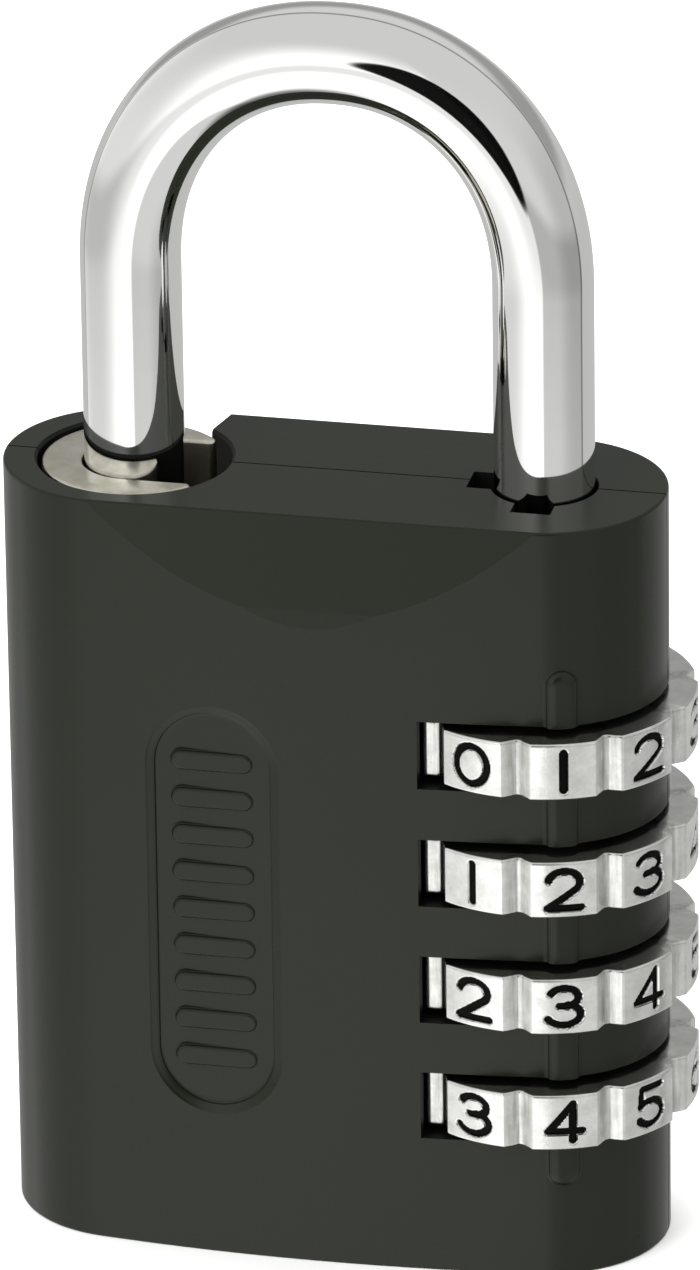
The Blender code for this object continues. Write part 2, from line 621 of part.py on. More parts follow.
def make_cylinder():
    at = (TOE_X, 0.0, 0.0)
    low = 0.35
    plug_top = HOUSING_TOP + 1.6
    neck = PLUG_RADIUS - 0.8
    profile = [(PLUG_RADIUS, low + 0.2), (PLUG_RADIUS, HOUSING_TOP + 0.1), (neck, HOUSING_TOP + 0.1),
               (neck, plug_top)]
    plug = add_object("cylinder_plug", turned_mesh("cylinder_plug", profile, 24), "brass", at)
    keyway_top = pin_heights()[-1] + 1.6
    tools = {
        "cut_keyway": box_mesh("cut_keyway", (-PLUG_RADIUS + 0.7, -0.55, -1.0), (1.7, 0.55, keyway_top)),
        "cut_keyway_ward": box_mesh("cut_keyway_ward", (-1.2, -1.0, -1.0), (-0.4, 0.2, keyway_top)),
        "cut_driver_slot": box_mesh("cut_driver_slot", (-PLUG_RADIUS, -0.9, plug_top - 1.4),
                                    (PLUG_RADIUS, 0.9, plug_top + 1.0)),
    }
    for name, mesh in tools.items():
        boolean(plug, tool_object(name, mesh, at))

    housing = prism_mesh("cylinder_housing", circle(HOUSING_RADIUS, 28), low, HOUSING_TOP)
    housing = add_object("cylinder_housing", housing, "brass", at)
    bible = box_mesh("join_bible", (0.0, -BIBLE_WIDTH / 2, 2.5), (BIBLE_REACH, BIBLE_WIDTH / 2, HOUSING_TOP))
    boolean(housing, tool_object("join_bible", bible, at), "UNION")
    bore = prism_mesh("cut_plug_bore", circle(PLUG_RADIUS + RUN_FIT, 24), low - 1.0, HOUSING_TOP + 1.0)
    boolean(housing, tool_object("cut_plug_bore", bore, at))
    clip = prism_mesh("plug_clip", circle(PLUG_RADIUS + 0.9, 20), HOUSING_TOP + 0.4, HOUSING_TOP + 0.9)
    clip = add_object("plug_clip", clip, "steel", at)
    hole = prism_mesh("cut_clip", circle(neck + PIN_FIT, 20), HOUSING_TOP, HOUSING_TOP + 2.0)
    boolean(clip, tool_object("cut_clip", hole, at))
    across = (0.0, math.pi / 2, 0.0)
    for k, (z, length) in enumerate(zip(pin_heights(), KEY_PIN_LENGTHS), 1):
        place = (TOE_X, 0.0, z)
        hole = PIN_RADIUS + PIN_FIT
        in_plug = turned_mesh(f"cut_plug_pin_{k}", [(hole, 0.0), (hole, PLUG_RADIUS + 1.0)], 12)
        in_housing = turned_mesh(f"cut_housing_pin_{k}", [(hole, 0.5), (hole, BIBLE_REACH - 0.7)], 12)
        boolean(plug, tool_object(f"cut_plug_pin_{k}", in_plug, place, across))
        boolean(housing, tool_object(f"cut_housing_pin_{k}", in_housing, place, across))
        end = PLUG_RADIUS - 0.1
        tip = 0.4
        key_pin = [(0.25, end - length), (PIN_RADIUS, end - length + tip), (PIN_RADIUS, end)]
        driver_low, driver_high = PLUG_RADIUS + 0.25, PLUG_RADIUS + 2.6
        driver_pin = [(PIN_RADIUS, driver_low), (PIN_RADIUS, driver_high)]
        coil = coil_mesh(f"pin_spring_{k}", 0.55, 0.14, driver_high + 0.2, BIBLE_REACH - 0.9, 5, 7, 4)
        pieces = ((f"key_pin_{k}", turned_mesh(f"key_pin_{k}", key_pin, 10), "brass"),
                  (f"driver_pin_{k}", turned_mesh(f"driver_pin_{k}", driver_pin, 10), "steel"),
                  (f"pin_spring_{k}", coil, "spring"))
        for name, mesh, kind in pieces:
            add_object(name, mesh, kind, place).rotation_euler = across


def main():
    clear_scene()
    make_shells()
    make_pins()
    make_shackle()
    make_dials()
    make_reset()
    make_cam()
    make_cylinder()


main()
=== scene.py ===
import json
import math

import bmesh
import bpy
import numpy as np
from mathutils import Matrix, Vector


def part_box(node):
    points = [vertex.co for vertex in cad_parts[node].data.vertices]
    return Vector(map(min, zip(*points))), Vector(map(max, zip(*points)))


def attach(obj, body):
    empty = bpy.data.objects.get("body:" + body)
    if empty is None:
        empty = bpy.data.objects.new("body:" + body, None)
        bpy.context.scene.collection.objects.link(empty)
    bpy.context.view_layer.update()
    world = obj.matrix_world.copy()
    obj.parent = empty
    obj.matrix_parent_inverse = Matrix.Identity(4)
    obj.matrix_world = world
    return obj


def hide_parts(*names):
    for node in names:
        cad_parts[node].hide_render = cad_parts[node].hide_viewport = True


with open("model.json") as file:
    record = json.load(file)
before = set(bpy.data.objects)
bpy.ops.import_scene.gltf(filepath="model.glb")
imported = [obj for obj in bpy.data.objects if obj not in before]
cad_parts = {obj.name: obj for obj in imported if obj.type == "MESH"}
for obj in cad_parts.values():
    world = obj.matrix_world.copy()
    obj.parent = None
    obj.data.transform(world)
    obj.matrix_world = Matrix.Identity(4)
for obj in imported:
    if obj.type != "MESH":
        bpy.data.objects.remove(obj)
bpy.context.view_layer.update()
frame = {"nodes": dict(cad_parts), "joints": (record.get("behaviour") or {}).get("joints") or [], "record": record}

mm = 0.001

joints = {joint["name"]: joint for joint in frame["joints"]}
jointPlace = {name: np.array(joint.get("pos_m", (0, 0, 0))) / mm for name, joint in joints.items()}


def boxOf(node):
    low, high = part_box(node)
    return np.array(low) / mm, np.array(high) / mm


bodyLow = np.minimum(boxOf("front_shell")[0], boxOf("rear_shell")[0])
bodyHigh = np.maximum(boxOf("front_shell")[1], boxOf("rear_shell")[1])
heelX = jointPlace["dial_1_turn"][0]
toeX = jointPlace["key_turn"][0]
dialZ = [jointPlace[f"dial_{k}_turn"][2] for k in (1, 2, 3, 4)]
deckZ = bodyHigh[2]
bodyX = (bodyLow[0] + bodyHigh[0]) / 2
bodyWidth = bodyHigh[0] - bodyLow[0]
liftTravel = joints["shackle_lift"]["range_m"][1] / mm
barRadius = boxOf("shackle")[1][1]
shackleTop = boxOf("shackle")[1][2]
print("frame read: body", np.round(bodyWidth, 2), "wide,", np.round(deckZ, 2), "high")


# sizes that the hollows of the shells share with the pieces that move in them
innerSize = {
    "toeDepth": 6.5,          # toe leg below the deck
    "camDrop": 0.7,           # floor of the cam's slot below the toe leg
    "sleeveHeight": 4.6,      # the part of a sleeve that blocks the lugs
    "lugDrop": 1.5,           # from there down to the lug under it
    "lugHeight": 1.2,
    "lugReach": 1.25,         # beyond the bar's surface
    "finRise": 0.2,           # fin over the deck when the shackle is up
    "finHeight": 5.4,
}
lugEnd = barRadius + innerSize["lugReach"]
lugLow = [boxOf(f"clutch_sleeve_{k}")[1][2] - innerSize["sleeveHeight"] - innerSize["lugDrop"]
          - innerSize["lugHeight"] for k in (1, 2, 3, 4)]
finLow = deckZ + innerSize["finRise"] - liftTravel
camFloor = deckZ - innerSize["toeDepth"] - innerSize["camDrop"]


def hexColor(text):  # sRGB hex to linear light, with alpha 1
    value = np.array([int(text[i:i + 2], 16) / 255 for i in (1, 3, 5)])
    linear = np.where(value <= 0.04045, value / 12.92, ((value + 0.055) / 1.055) ** 2.4)
    return (*(float(v) for v in linear), 1.0)


# adds a node, sets its properties or sockets by name, and links other sockets into it
def addNode(tree, kind, settings=None, links=None):
    node = tree.nodes.new(kind)
    for key, value in (settings or {}).items():
        if isinstance(key, str) and hasattr(node, key):
            setattr(node, key, value)
        else:
            node.inputs[key].default_value = value
    for key, socket in (links or {}).items():
        tree.links.new(socket, node.inputs[key])
    return node


def newMaterial(name):
    made = bpy.data.materials.new(name)
    made.use_nodes = True
    made.node_tree.nodes.clear()
    return made, made.node_tree


def finishMaterial(tree, shader):
    addNode(tree, "ShaderNodeOutputMaterial", None, {"Surface": shader.outputs[0]})


# a grid of points, rows by columns, as quads; wrap closes the columns, loop closes the rows,
# caps puts one flat face on the first and the last row
def gridPart(points, wrap=True, loop=False, caps=False):
    rows, columns = points.shape[:2]
    index = np.arange(rows * columns).reshape(rows, columns)
    if wrap:
        index = np.concatenate([index, index[:, :1]], axis=1)
    if loop:
        index = np.concatenate([index, index[:1]], axis=0)
    quads = np.stack([index[:-1, :-1], index[:-1, 1:], index[1:, 1:], index[1:, :-1]], axis=-1)
    faces = quads.reshape(-1, 4).tolist()
    if caps:
        faces.append(list(range(columns))[::-1])
        faces.append(list(range((rows - 1) * columns, rows * columns)))
    return points.reshape(-1, 3), faces


# the outline's points at two heights with a wall between them and a flat face at each end
def prismPart(outline, low, high):
    flat = np.asarray(outline, float)
    base = np.column_stack([flat, np.zeros(len(flat))])
    return gridPart(np.stack([base + (0, 0, low), base + (0, 0, high)]), caps=True)


# radius and height pairs turned about an upright axis at (x, y)
def turnedPart(profile, x=0.0, y=0.0, count=96, closed=False):
    profile = np.asarray(profile, float)
    angle = np.linspace(0, 2 * math.pi, count, endpoint=False)
    radius, height = profile[:, :1], profile[:, 1:]
    points = np.stack([x + radius * np.cos(angle), y + radius * np.sin(angle),
                       height + 0 * angle], axis=-1)
    return gridPart(points, loop=closed, caps=not closed)


# an edge rolled over by a quarter: distance along the side and inset from it, from the end face to the side
def quarterRoll(edge, count):
    turn = np.linspace(0, math.pi / 2, count)
    return list(zip(edge * (1 - np.cos(turn)), edge * (1 - np.sin(turn))))


def movedPart(part, matrix):
    points = np.asarray(part[0]) @ np.array(matrix)[:3, :3].T + np.array(matrix)[:3, 3]
    return points, part[1]


def boxOutline(x0, x1, y0, y1):
    return [(x0, y0), (x1, y0), (x1, y1), (x0, y1)]


def circleOutline(radius, x=0.0, y=0.0, count=96):
    angle = np.linspace(0, 2 * math.pi, count, endpoint=False)
    return np.column_stack([x + radius * np.cos(angle), y + radius * np.sin(angle)])


# joins parts into one object at the origin, with faces pointing out
def makeObject(name, parts, material=None, sharpAngle=32.0):
    points, faces, start = [], [], 0
    for partPoints, partFaces in parts:
        points.append(np.asarray(partPoints))
        faces += [[i + start for i in face] for face in partFaces]
        start += len(partPoints)
    mesh = bpy.data.meshes.new(name)
    mesh.from_pydata((np.concatenate(points) * mm).tolist(), [], faces)
    cleanNormals(mesh, sharpAngle)
    made = bpy.data.objects.new(name, mesh)
    bpy.context.scene.collection.objects.link(made)
    if material:
        mesh.materials.append(material)
    return made


def cleanNormals(mesh, sharpAngle):
    bm = bmesh.new()
    bm.from_mesh(mesh)
    bmesh.ops.recalc_face_normals(bm, faces=bm.faces)
    markEdges(bm, sharpAngle)
    bm.to_mesh(mesh)
    bm.free()


# smooth faces, with an edge kept crisp where its two faces turn by more than the angle
def markEdges(bm, sharpAngle):
    for face in bm.faces:
        face.smooth = True
    limit = math.radians(sharpAngle)
    for edge in bm.edges:
        if len(edge.link_faces) == 2 and edge.calc_face_angle(0.0) > limit:
            edge.smooth = False


# cuts or joins each tool in turn and keeps the result as a plain mesh; faces left by a cut take the second
# material, and those of a skin step the first
def carve(target, steps):
    tools = []
    for operation, part in steps:
        tool = makeObject("tool", [part])
        tool.data.materials.append(None)
        tool.data.materials.append(None)
        slot = 0 if operation in ("UNION", "SKIN") else 1
        operation = "DIFFERENCE" if operation == "SKIN" else operation
        tool.data.polygons.foreach_set("material_index", [slot] * len(tool.data.polygons))
        modifier = target.modifiers.new("carve", "BOOLEAN")
        modifier.operation = operation
        modifier.solver = "EXACT"
        modifier.object = tool
        tools.append(tool)
    graph = bpy.context.evaluated_depsgraph_get()
    result = bpy.data.meshes.new_from_object(target.evaluated_get(graph))
    target.modifiers.clear()
    target.data = result
    for tool in tools:
        bpy.data.objects.remove(tool, do_unlink=True)


lacquerLook = {
    "color": "#10140b",       # black with a faint olive cast
    "sheen": "#fffff7",       # tint of its reflections
    "ior": 1.4,
    "roughness": (0.24, 0.31),   # sprayed satin coat
    "cloudSize": 9.0,         # mm, patches where the coat is duller
    "grainSize": 0.22,        # mm, orange peel of the spray
    "grainBump": 0.05,
    "grainDepth": 0.02,
}


# black lacquer sprayed on die-cast zinc: satin, with a very fine orange peel that breaks up highlights
def makeLacquer():
    look = lacquerLook
    made, tree = newMaterial("satinBlackLacquer")
    place = addNode(tree, "ShaderNodeTexCoord")
    peel = addNode(tree, "ShaderNodeTexNoise", {"Scale": 1 / (look["grainSize"] * mm), "Detail": 2.0},
                   {"Vector": place.outputs["Object"]})
    cloud = addNode(tree, "ShaderNodeTexNoise", {"Scale": 1 / (look["cloudSize"] * mm), "Detail": 3.0},
                    {"Vector": place.outputs["Object"]})
    gloss = addNode(tree, "ShaderNodeMapRange",
                    {"To Min": look["roughness"][0], "To Max": look["roughness"][1]},
                    {"Value": cloud.outputs["Fac"]})
    bump = addNode(tree, "ShaderNodeBump",
                   {"Strength": look["grainBump"], "Distance": look["grainDepth"] * mm},
                   {"Height": peel.outputs["Fac"]})
    shader = addNode(tree, "ShaderNodeBsdfPrincipled",
                     {"Base Color": hexColor(look["color"]), "IOR": look["ior"],
                      "Specular Tint": hexColor(look["sheen"])},
                     {"Roughness": gloss.outputs["Result"], "Normal": bump.outputs["Normal"]})
    finishMaterial(tree, shader)
    return made


primerLook = {
    "color": "#0b0b0a",
    "ior": 1.3,
    "roughness": (0.42, 0.62),
    "gritSize": 0.15,         # mm
    "gritBump": 0.2,
    "gritDepth": 0.02,
}


# thin matt black primer inside the casting, where the lacquer spray doesn't reach
def makePrimer():
    look = primerLook
    made, tree = newMaterial("mattBlackPrimer")
    place = addNode(tree, "ShaderNodeTexCoord")
    grit = addNode(tree, "ShaderNodeTexNoise", {"Scale": 1 / (look["gritSize"] * mm), "Detail": 3.0},
                   {"Vector": place.outputs["Object"]})
    gloss = addNode(tree, "ShaderNodeMapRange",
                    {"To Min": look["roughness"][0], "To Max": look["roughness"][1]},
                    {"Value": grit.outputs["Fac"]})
    bump = addNode(tree, "ShaderNodeBump", {"Strength": look["gritBump"], "Distance": look["gritDepth"] * mm},
                   {"Height": grit.outputs["Fac"]})
    shader = addNode(tree, "ShaderNodeBsdfPrincipled",
                     {"Base Color": hexColor(look["color"]), "IOR": look["ior"]},
                     {"Roughness": gloss.outputs["Result"], "Normal": bump.outputs["Normal"]})
    finishMaterial(tree, shader)
    return made


chromeLook = {
    "color": "#f1f1f0",
    "roughness": 0.03,
    "smear": 0.05,            # roughness added where fingers and cloths have dulled it
    "smearSize": 6.0,         # mm
    "rippleSize": 3.0,        # mm, polishing ripple
    "rippleBump": 0.06,
    "rippleDepth": 0.1,
}


# bright chrome over polished hardened steel: mirror reflections with slight polishing ripple and some haze
def makeChrome():
    look = chromeLook
    made, tree = newMaterial("polishedChrome")
    place = addNode(tree, "ShaderNodeTexCoord")
    haze = addNode(tree, "ShaderNodeTexNoise",
                   {"Scale": 1 / (look["smearSize"] * mm), "Detail": 5.0, "Roughness": 0.6},
                   {"Vector": place.outputs["Object"]})
    gloss = addNode(tree, "ShaderNodeMapRange",
                    {"From Min": 0.35, "From Max": 0.75, "To Min": look["roughness"],
                     "To Max": look["roughness"] + look["smear"]},
                    {"Value": haze.outputs["Fac"]})
    ripple = addNode(tree, "ShaderNodeTexNoise", {"Scale": 1 / (look["rippleSize"] * mm), "Detail": 1.0},
                     {"Vector": place.outputs["Object"]})
    bump = addNode(tree, "ShaderNodeBump",
                   {"Strength": look["rippleBump"], "Distance": look["rippleDepth"] * mm},
                   {"Height": ripple.outputs["Fac"]})
    shader = addNode(tree, "ShaderNodeBsdfPrincipled",
                     {"Base Color": hexColor(look["color"]), "Metallic": 1.0},
                     {"Roughness": gloss.outputs["Result"], "Normal": bump.outputs["Normal"]})
    finishMaterial(tree, shader)
    return made


nickelLook = {
    "cloudSize": 1.3,         # mm, patches left by the tumbling
    "duller": 0.1,            # roughness above and below its middle value
    "glossier": 0.08,
    "pitSize": 0.16,          # mm
    "pitBump": 0.16,
    "pitDepth": 0.02,
    "streakWidth": 0.3,       # mm, streaks of grime and painted shade in the grooves
    "streakLength": 2.5,
    "stainAndShade": (0.08, 0.42),    # share of grime and painted shade at its lightest and at its darkest
    "grimeAndShade": "#3d3b36",
    "blackening": "#161615",
}


# nickel on die-cast metal, tumbled to a satin: soft reflections and faint pits; in the engraved digits, where
# the attribute paint is 1, it is blackened, and in the grooves, where hollow is 1, streaks of grime and painted
# shade darken it
def makeNickel(name, color, worn, roughness, engraved):
    look = nickelLook
    made, tree = newMaterial(name)
    place = addNode(tree, "ShaderNodeTexCoord")
    cloud = addNode(tree, "ShaderNodeTexNoise",
                    {"Scale": 1 / (look["cloudSize"] * mm), "Detail": 6.0, "Roughness": 0.65},
                    {"Vector": place.outputs["Object"]})
    pits = addNode(tree, "ShaderNodeTexNoise", {"Scale": 1 / (look["pitSize"] * mm), "Detail": 2.0},
                   {"Vector": place.outputs["Object"]})
    gloss = addNode(tree, "ShaderNodeMapRange",
                    {"To Min": roughness - look["glossier"], "To Max": roughness + look["duller"]},
                    {"Value": cloud.outputs["Fac"]})
    bump = addNode(tree, "ShaderNodeBump", {"Strength": look["pitBump"], "Distance": look["pitDepth"] * mm},
                   {"Height": pits.outputs["Fac"]})
    patch = addNode(tree, "ShaderNodeMapRange", {"From Min": 0.35, "From Max": 0.7},
                    {"Value": cloud.outputs["Fac"]})
    tone = addNode(tree, "ShaderNodeMixRGB", {"Color1": hexColor(color), "Color2": hexColor(worn)},
                   {"Fac": patch.outputs["Result"]})
    if engraved:
        hollow = addNode(tree, "ShaderNodeAttribute", {"attribute_name": "hollow"})
        across, along = 1 / (look["streakWidth"] * mm), 1 / (look["streakLength"] * mm)
        upright = addNode(tree, "ShaderNodeMapping", {"Scale": (across, across, along)},
                          {"Vector": place.outputs["Object"]})
        streak = addNode(tree, "ShaderNodeTexNoise", {"Scale": 1.0, "Detail": 2.0},
                         {"Vector": upright.outputs["Vector"]})
        stainAndShade = addNode(tree, "ShaderNodeMapRange",
                        {"From Min": 0.3, "From Max": 0.7,
                         "To Min": look["stainAndShade"][0], "To Max": look["stainAndShade"][1]},
                        {"Value": streak.outputs["Fac"]})
        # painted shade: a streaky grey darkens the grooves by their depth, partly grime and partly standing in for
        # the shade in them
        grimeAndShade = addNode(tree, "ShaderNodeMath", {"operation": "MULTIPLY"},
                        {0: hollow.outputs["Fac"], 1: stainAndShade.outputs["Result"]})
        tone = addNode(tree, "ShaderNodeMixRGB", {"Color2": hexColor(look["grimeAndShade"])},
                       {"Fac": grimeAndShade.outputs["Value"], "Color1": tone.outputs["Color"]})
        paint = addNode(tree, "ShaderNodeAttribute", {"attribute_name": "paint"})
        edge = addNode(tree, "ShaderNodeMapRange", {"From Min": 0.3, "From Max": 0.7},
                       {"Value": paint.outputs["Fac"]})
        tone = addNode(tree, "ShaderNodeMixRGB", {"Color2": hexColor(look["blackening"])},
                       {"Fac": edge.outputs["Result"], "Color1": tone.outputs["Color"]})
    shader = addNode(tree, "ShaderNodeBsdfPrincipled", {"Metallic": 1.0},
                     {"Roughness": gloss.outputs["Result"], "Normal": bump.outputs["Normal"],
                      "Base Color": tone.outputs["Color"]})
    finishMaterial(tree, shader)
    return made


turnedLook = {
    "ringScale": (60.0, 60.0, 9000.0),   # waves a metre: fine along the axis, long across it
    "duller": 0.1,
    "glossier": 0.08,
    "ringBump": 0.1,
    "ringDepth": 0.02,
}


# turned metal for the inner pieces: fine rings from the lathe show as streaks round the upright axis
def makeTurned(name, color, roughness):
    look = turnedLook
    made, tree = newMaterial(name)
    place = addNode(tree, "ShaderNodeTexCoord")
    stretch = addNode(tree, "ShaderNodeMapping", {"Scale": look["ringScale"]},
                      {"Vector": place.outputs["Object"]})
    rings = addNode(tree, "ShaderNodeTexNoise", {"Scale": 1.0, "Detail": 3.0},
                    {"Vector": stretch.outputs["Vector"]})
    gloss = addNode(tree, "ShaderNodeMapRange",
                    {"To Min": roughness - look["glossier"], "To Max": roughness + look["duller"]},
                    {"Value": rings.outputs["Fac"]})
    bump = addNode(tree, "ShaderNodeBump", {"Strength": look["ringBump"], "Distance": look["ringDepth"] * mm},
                   {"Height": rings.outputs["Fac"]})
    shader = addNode(tree, "ShaderNodeBsdfPrincipled", {"Base Color": hexColor(color), "Metallic": 1.0},
                     {"Roughness": gloss.outputs["Result"], "Normal": bump.outputs["Normal"]})
    finishMaterial(tree, shader)
    return made


lacquer = makeLacquer()
primer = makePrimer()
chrome = makeChrome()
dialNickel = makeNickel("satinNickelEngraved", "#f4f4f2", "#dcdcd8", 0.2, True)
camNickel = makeNickel("tumbledNickel", "#eae8dc", "#cfcab6", 0.3, False)
brass = makeTurned("turnedBrass", "#d8b46a", 0.26)
steel = makeTurned("turnedSteel", "#a9abad", 0.28)
springWire = makeTurned("drawnSpringWire", "#8f9296", 0.25)
print("materials made")


shellSize = {
    "endRadius": 7.85,
    "crown": 0.85,
    "facetHeight": 6.8,
    "facetTop": 7.8,          # half depth of the flat facet at the deck
    "facetSoft": 0.04,        # depth of the narrow band that eases the face into the facet
    "edge": 0.55,
    "rimBevel": 0.09,
    "seam": 0.11,
    "windowInset": 6.7,
    "windowHeight": 4.7,
    "pocketRadius": 10.1,
    "indexWidth": 2.0,
    "indexProud": 0.45,
    "indexAngle": 18.0,
    "indexTop": 9.5,
    "indexBottom": 6.45,
    "indexRound": 0.72,       # rolled-over edge of the bar
    "fieldWidth": 8.0,
    "fieldHeight": 28.1,
    "fieldDepth": 0.32,
    "fieldX": 15.15,          # from the body's left end
    "fieldZ": 24.5,
    "ribCount": 9,            # plain grip ribs stand in the field
    "ribPitch": 2.62,
    "ribWidth": 5.4,
    "ribHeight": 1.35,
    "ribProud": 0.24,
    "ribEdge": 0.2,
}


# big arc of the faces, tangent to both end circles: radius and how far its centre lies behind the middle
def crownArc():
    size = shellSize
    span = bodyWidth / 2 - size["endRadius"]
    shift = (span ** 2 + size["crown"] ** 2) / (2 * size["crown"])
    return shift + size["endRadius"], shift - size["crown"], span


# half depth of the crowned face at x
def crownDepth(x):
    big, behind = crownArc()[:2]
    return np.sqrt(big ** 2 - (np.asarray(x) - bodyX) ** 2) - behind


# plan of the body: front and rear arcs of one big radius, closed by two tangent end arcs
def bodyOutline():
    big, behind, span = crownArc()
    lean = math.atan2(span, behind)
    face = np.linspace(math.pi / 2, math.pi / 2 - lean, 60)
    end = np.linspace(math.pi / 2 - lean, 0, 56)[1:]
    radius = shellSize["endRadius"]
    quarter = np.concatenate([
        np.column_stack([big * np.cos(face), big * np.sin(face) - behind]),
        np.column_stack([span + radius * np.cos(end), radius * np.sin(end)])])
    right = np.concatenate([quarter, (quarter * (1, -1))[::-1][1:]])
    left = (right * (-1, 1))[::-1][1:-1]
    return np.concatenate([right, left]) + (bodyX, 0)


# the prism of that plan: its faces are cut flat near the deck in two leans, its top and bottom edges rounded
def bodyBlock(name):
    size = shellSize
    block = makeObject(name, [prismPart(bodyOutline(), 0.0, deckZ)], sharpAngle=60)
    bm = bmesh.new()
    bm.from_mesh(block.data)
    middle = size["endRadius"] + size["crown"]
    slope = math.atan2(middle - size["facetTop"], size["facetHeight"])
    for side in (-1, 1):
        for lean, inset in ((slope / 2, size["facetSoft"]), (slope, 0.0)):
            start = Vector((0, side * (middle - inset), deckZ - size["facetHeight"])) * mm
            facing = Vector((0, side * math.cos(lean), math.sin(lean)))
            cut = bmesh.ops.bisect_plane(bm, geom=bm.verts[:] + bm.edges[:] + bm.faces[:], plane_co=start,
                                         plane_no=facing, clear_outer=True)
            loop = [part for part in cut["geom_cut"] if isinstance(part, bmesh.types.BMEdge)]
            bmesh.ops.contextual_create(bm, geom=loop)
    bmesh.ops.recalc_face_normals(bm, faces=bm.faces)
    for edge in bm.edges:
        edge.smooth = edge.calc_face_angle(0.0) < math.radians(3)
    rim = [edge for edge in bm.edges if all(abs(v.co.z - deckZ * mm) < 1e-6 for v in edge.verts)
           or all(v.co.z < 1e-6 for v in edge.verts)]
    bmesh.ops.bevel(bm, geom=rim, offset=size["edge"] * mm, segments=5, profile=0.5, affect="EDGES",
                    clamp_overlap=True)
    bm.to_mesh(block.data)
    bm.free()
    block.data.materials.append(lacquer)
    block.data.materials.append(primer)
    return block


# outline of a bar with half-round ends, grown by a distance
def stadium(width, height, grow=0.0, count=48):
    radius = width / 2 + grow
    straight = height / 2 - width / 2
    upper = np.linspace(0, math.pi, count)
    top = np.column_stack([radius * np.cos(upper), straight + radius * np.sin(upper)])
    return np.concatenate([top, -top])


# cutter for the sunk field: stadium rings that start proud of the face, slope down a wide shoulder, drop
# over a short step and lie on a floor that follows the crown of the face
def fieldPart():
    size = shellSize
    x, z = bodyLow[0] + size["fieldX"], size["fieldZ"]
    profile = [(0.5, -2.0), (0.5, -0.03), (0.42, 0.01), (0.32, 0.05), (0.14, 0.1), (-0.04, 0.15),
               (-0.14, 0.19), (-0.19, 0.29), (-0.24, 0.315), (-0.45, size["fieldDepth"])]   # growth and depth
    rings = []
    for grow, depth in profile:
        flat = stadium(size["fieldWidth"], size["fieldHeight"], grow) + (x, z)
        rings.append(np.column_stack([flat[:, 0], -(crownDepth(flat[:, 0]) - depth), flat[:, 1]]))
    flat = stadium(size["fieldWidth"], size["fieldHeight"], profile[-1][0])
    for share in np.linspace(0.9, 0.02, 12):
        ring = np.column_stack([flat[:, 0] * share, flat[:, 1]]) + (x, z)
        rings.append(np.column_stack([ring[:, 0], -(crownDepth(ring[:, 0]) - size["fieldDepth"]), ring[:, 1]]))
    return gridPart(np.array(rings), caps=True)


# flat ribs across the field with rolled-over edges: rounded rectangles that shrink as they rise
def ribPart(row):
    size = shellSize
    x = bodyLow[0] + size["fieldX"]
    z = size["fieldZ"] + (row - (size["ribCount"] - 1) / 2) * size["ribPitch"]
    floor = crownDepth(x) - size["fieldDepth"]
    levels = [(-0.07, -0.6), (-0.06, 0.0), (-0.01, 0.05)]   # inset and rise
    levels += [(inset, size["ribProud"] - drop) for drop, inset in quarterRoll(size["ribEdge"], 6)[::-1]]
    rings = []
    for inset, rise in levels:
        flat = stadium(size["ribHeight"], size["ribWidth"], -inset, 20)
        rings.append(np.column_stack([x - flat[:, 1], np.full(len(flat), -(floor + rise)), z + flat[:, 0]]))
    return gridPart(np.array(rings), caps=True)


# upright bar with round shoulders and round ends, standing on the end radius at the index angle
def indexPart():
    size = shellSize
    low, high = size["indexBottom"], deckZ - size["indexTop"]
    base, foot = size["endRadius"] - 0.03, 0.06
    proud = size["indexProud"] + 0.03 - foot
    levels = [(-0.2, base - 1.0), (-0.18, base - foot), (-0.06, base + 0.02)]   # inset and reach
    levels += [(size["indexRound"] * (1 - math.cos(a)), base + foot + proud * math.sin(a))
               for a in np.linspace(0, math.pi / 2, 7)]
    rings = []
    for inset, reach in levels:
        ring = stadium(size["indexWidth"], high - low, -inset, 24)
        rings.append(np.column_stack([ring[:, 0], np.full(len(ring), -reach), ring[:, 1] + (low + high) / 2]))
    turn = Matrix.Translation((bodyX + bodyWidth / 2 - size["endRadius"], 0, 0))
    turn = turn @ Matrix.Rotation(math.radians(size["indexAngle"]), 4, "Z")
    return movedPart(gridPart(np.array(rings), caps=True), turn)


def crossBore(radius, halfLength, x, z):
    matrix = Matrix.Translation((x, 0, z)) @ Matrix.Rotation(math.pi / 2, 4, "X")
    return movedPart(turnedPart([(radius, -halfLength), (radius, halfLength)], count=32), matrix)


hollowSize = {
    "fit": 0.3,
    "seatFlare": 0.18,        # chamfer round the cam's seat
    "driverBore": 2.6,
    "cylinderFlare": 0.25,    # chamfer under the key cylinder's bore
    "columnHalf": 2.2,        # slot of the pin column
    "columnLow": 2.2,
    "chamberLow": 1.7,
    "chamberRoom": 0.4,       # over the highest lug when the shackle is up
    "heelLow": 2.7,
    "heelFit": 0.2,
    "heelFlare": 0.06,
    "finRoom": 0.45,          # round the fin where it turns
    "finBelow": 0.5,
    "topPlate": 1.6,          # between that room and the deck
    "notchWidth": 2.6,
    "sideNotch": 0.35,        # beyond the fin
    "frontNotch": 0.2,
    "stopBore": 0.95,
    "stopHalf": 5.8,
    "dowelFit": 0.15,
    "clickAngle": 162.0,      # degrees, from the heel to the click springs
    "clickBore": 0.95,
    "clickFrom": 9.5,
    "clickTo": 15.2,
    "gapHalf": 3.9,           # swing gap behind the toe
    "gapSlant": ((0.0, 4.6), (1.2, 9.7), (1.6, 12.0)),   # how far its heel side has moved over, and where
}


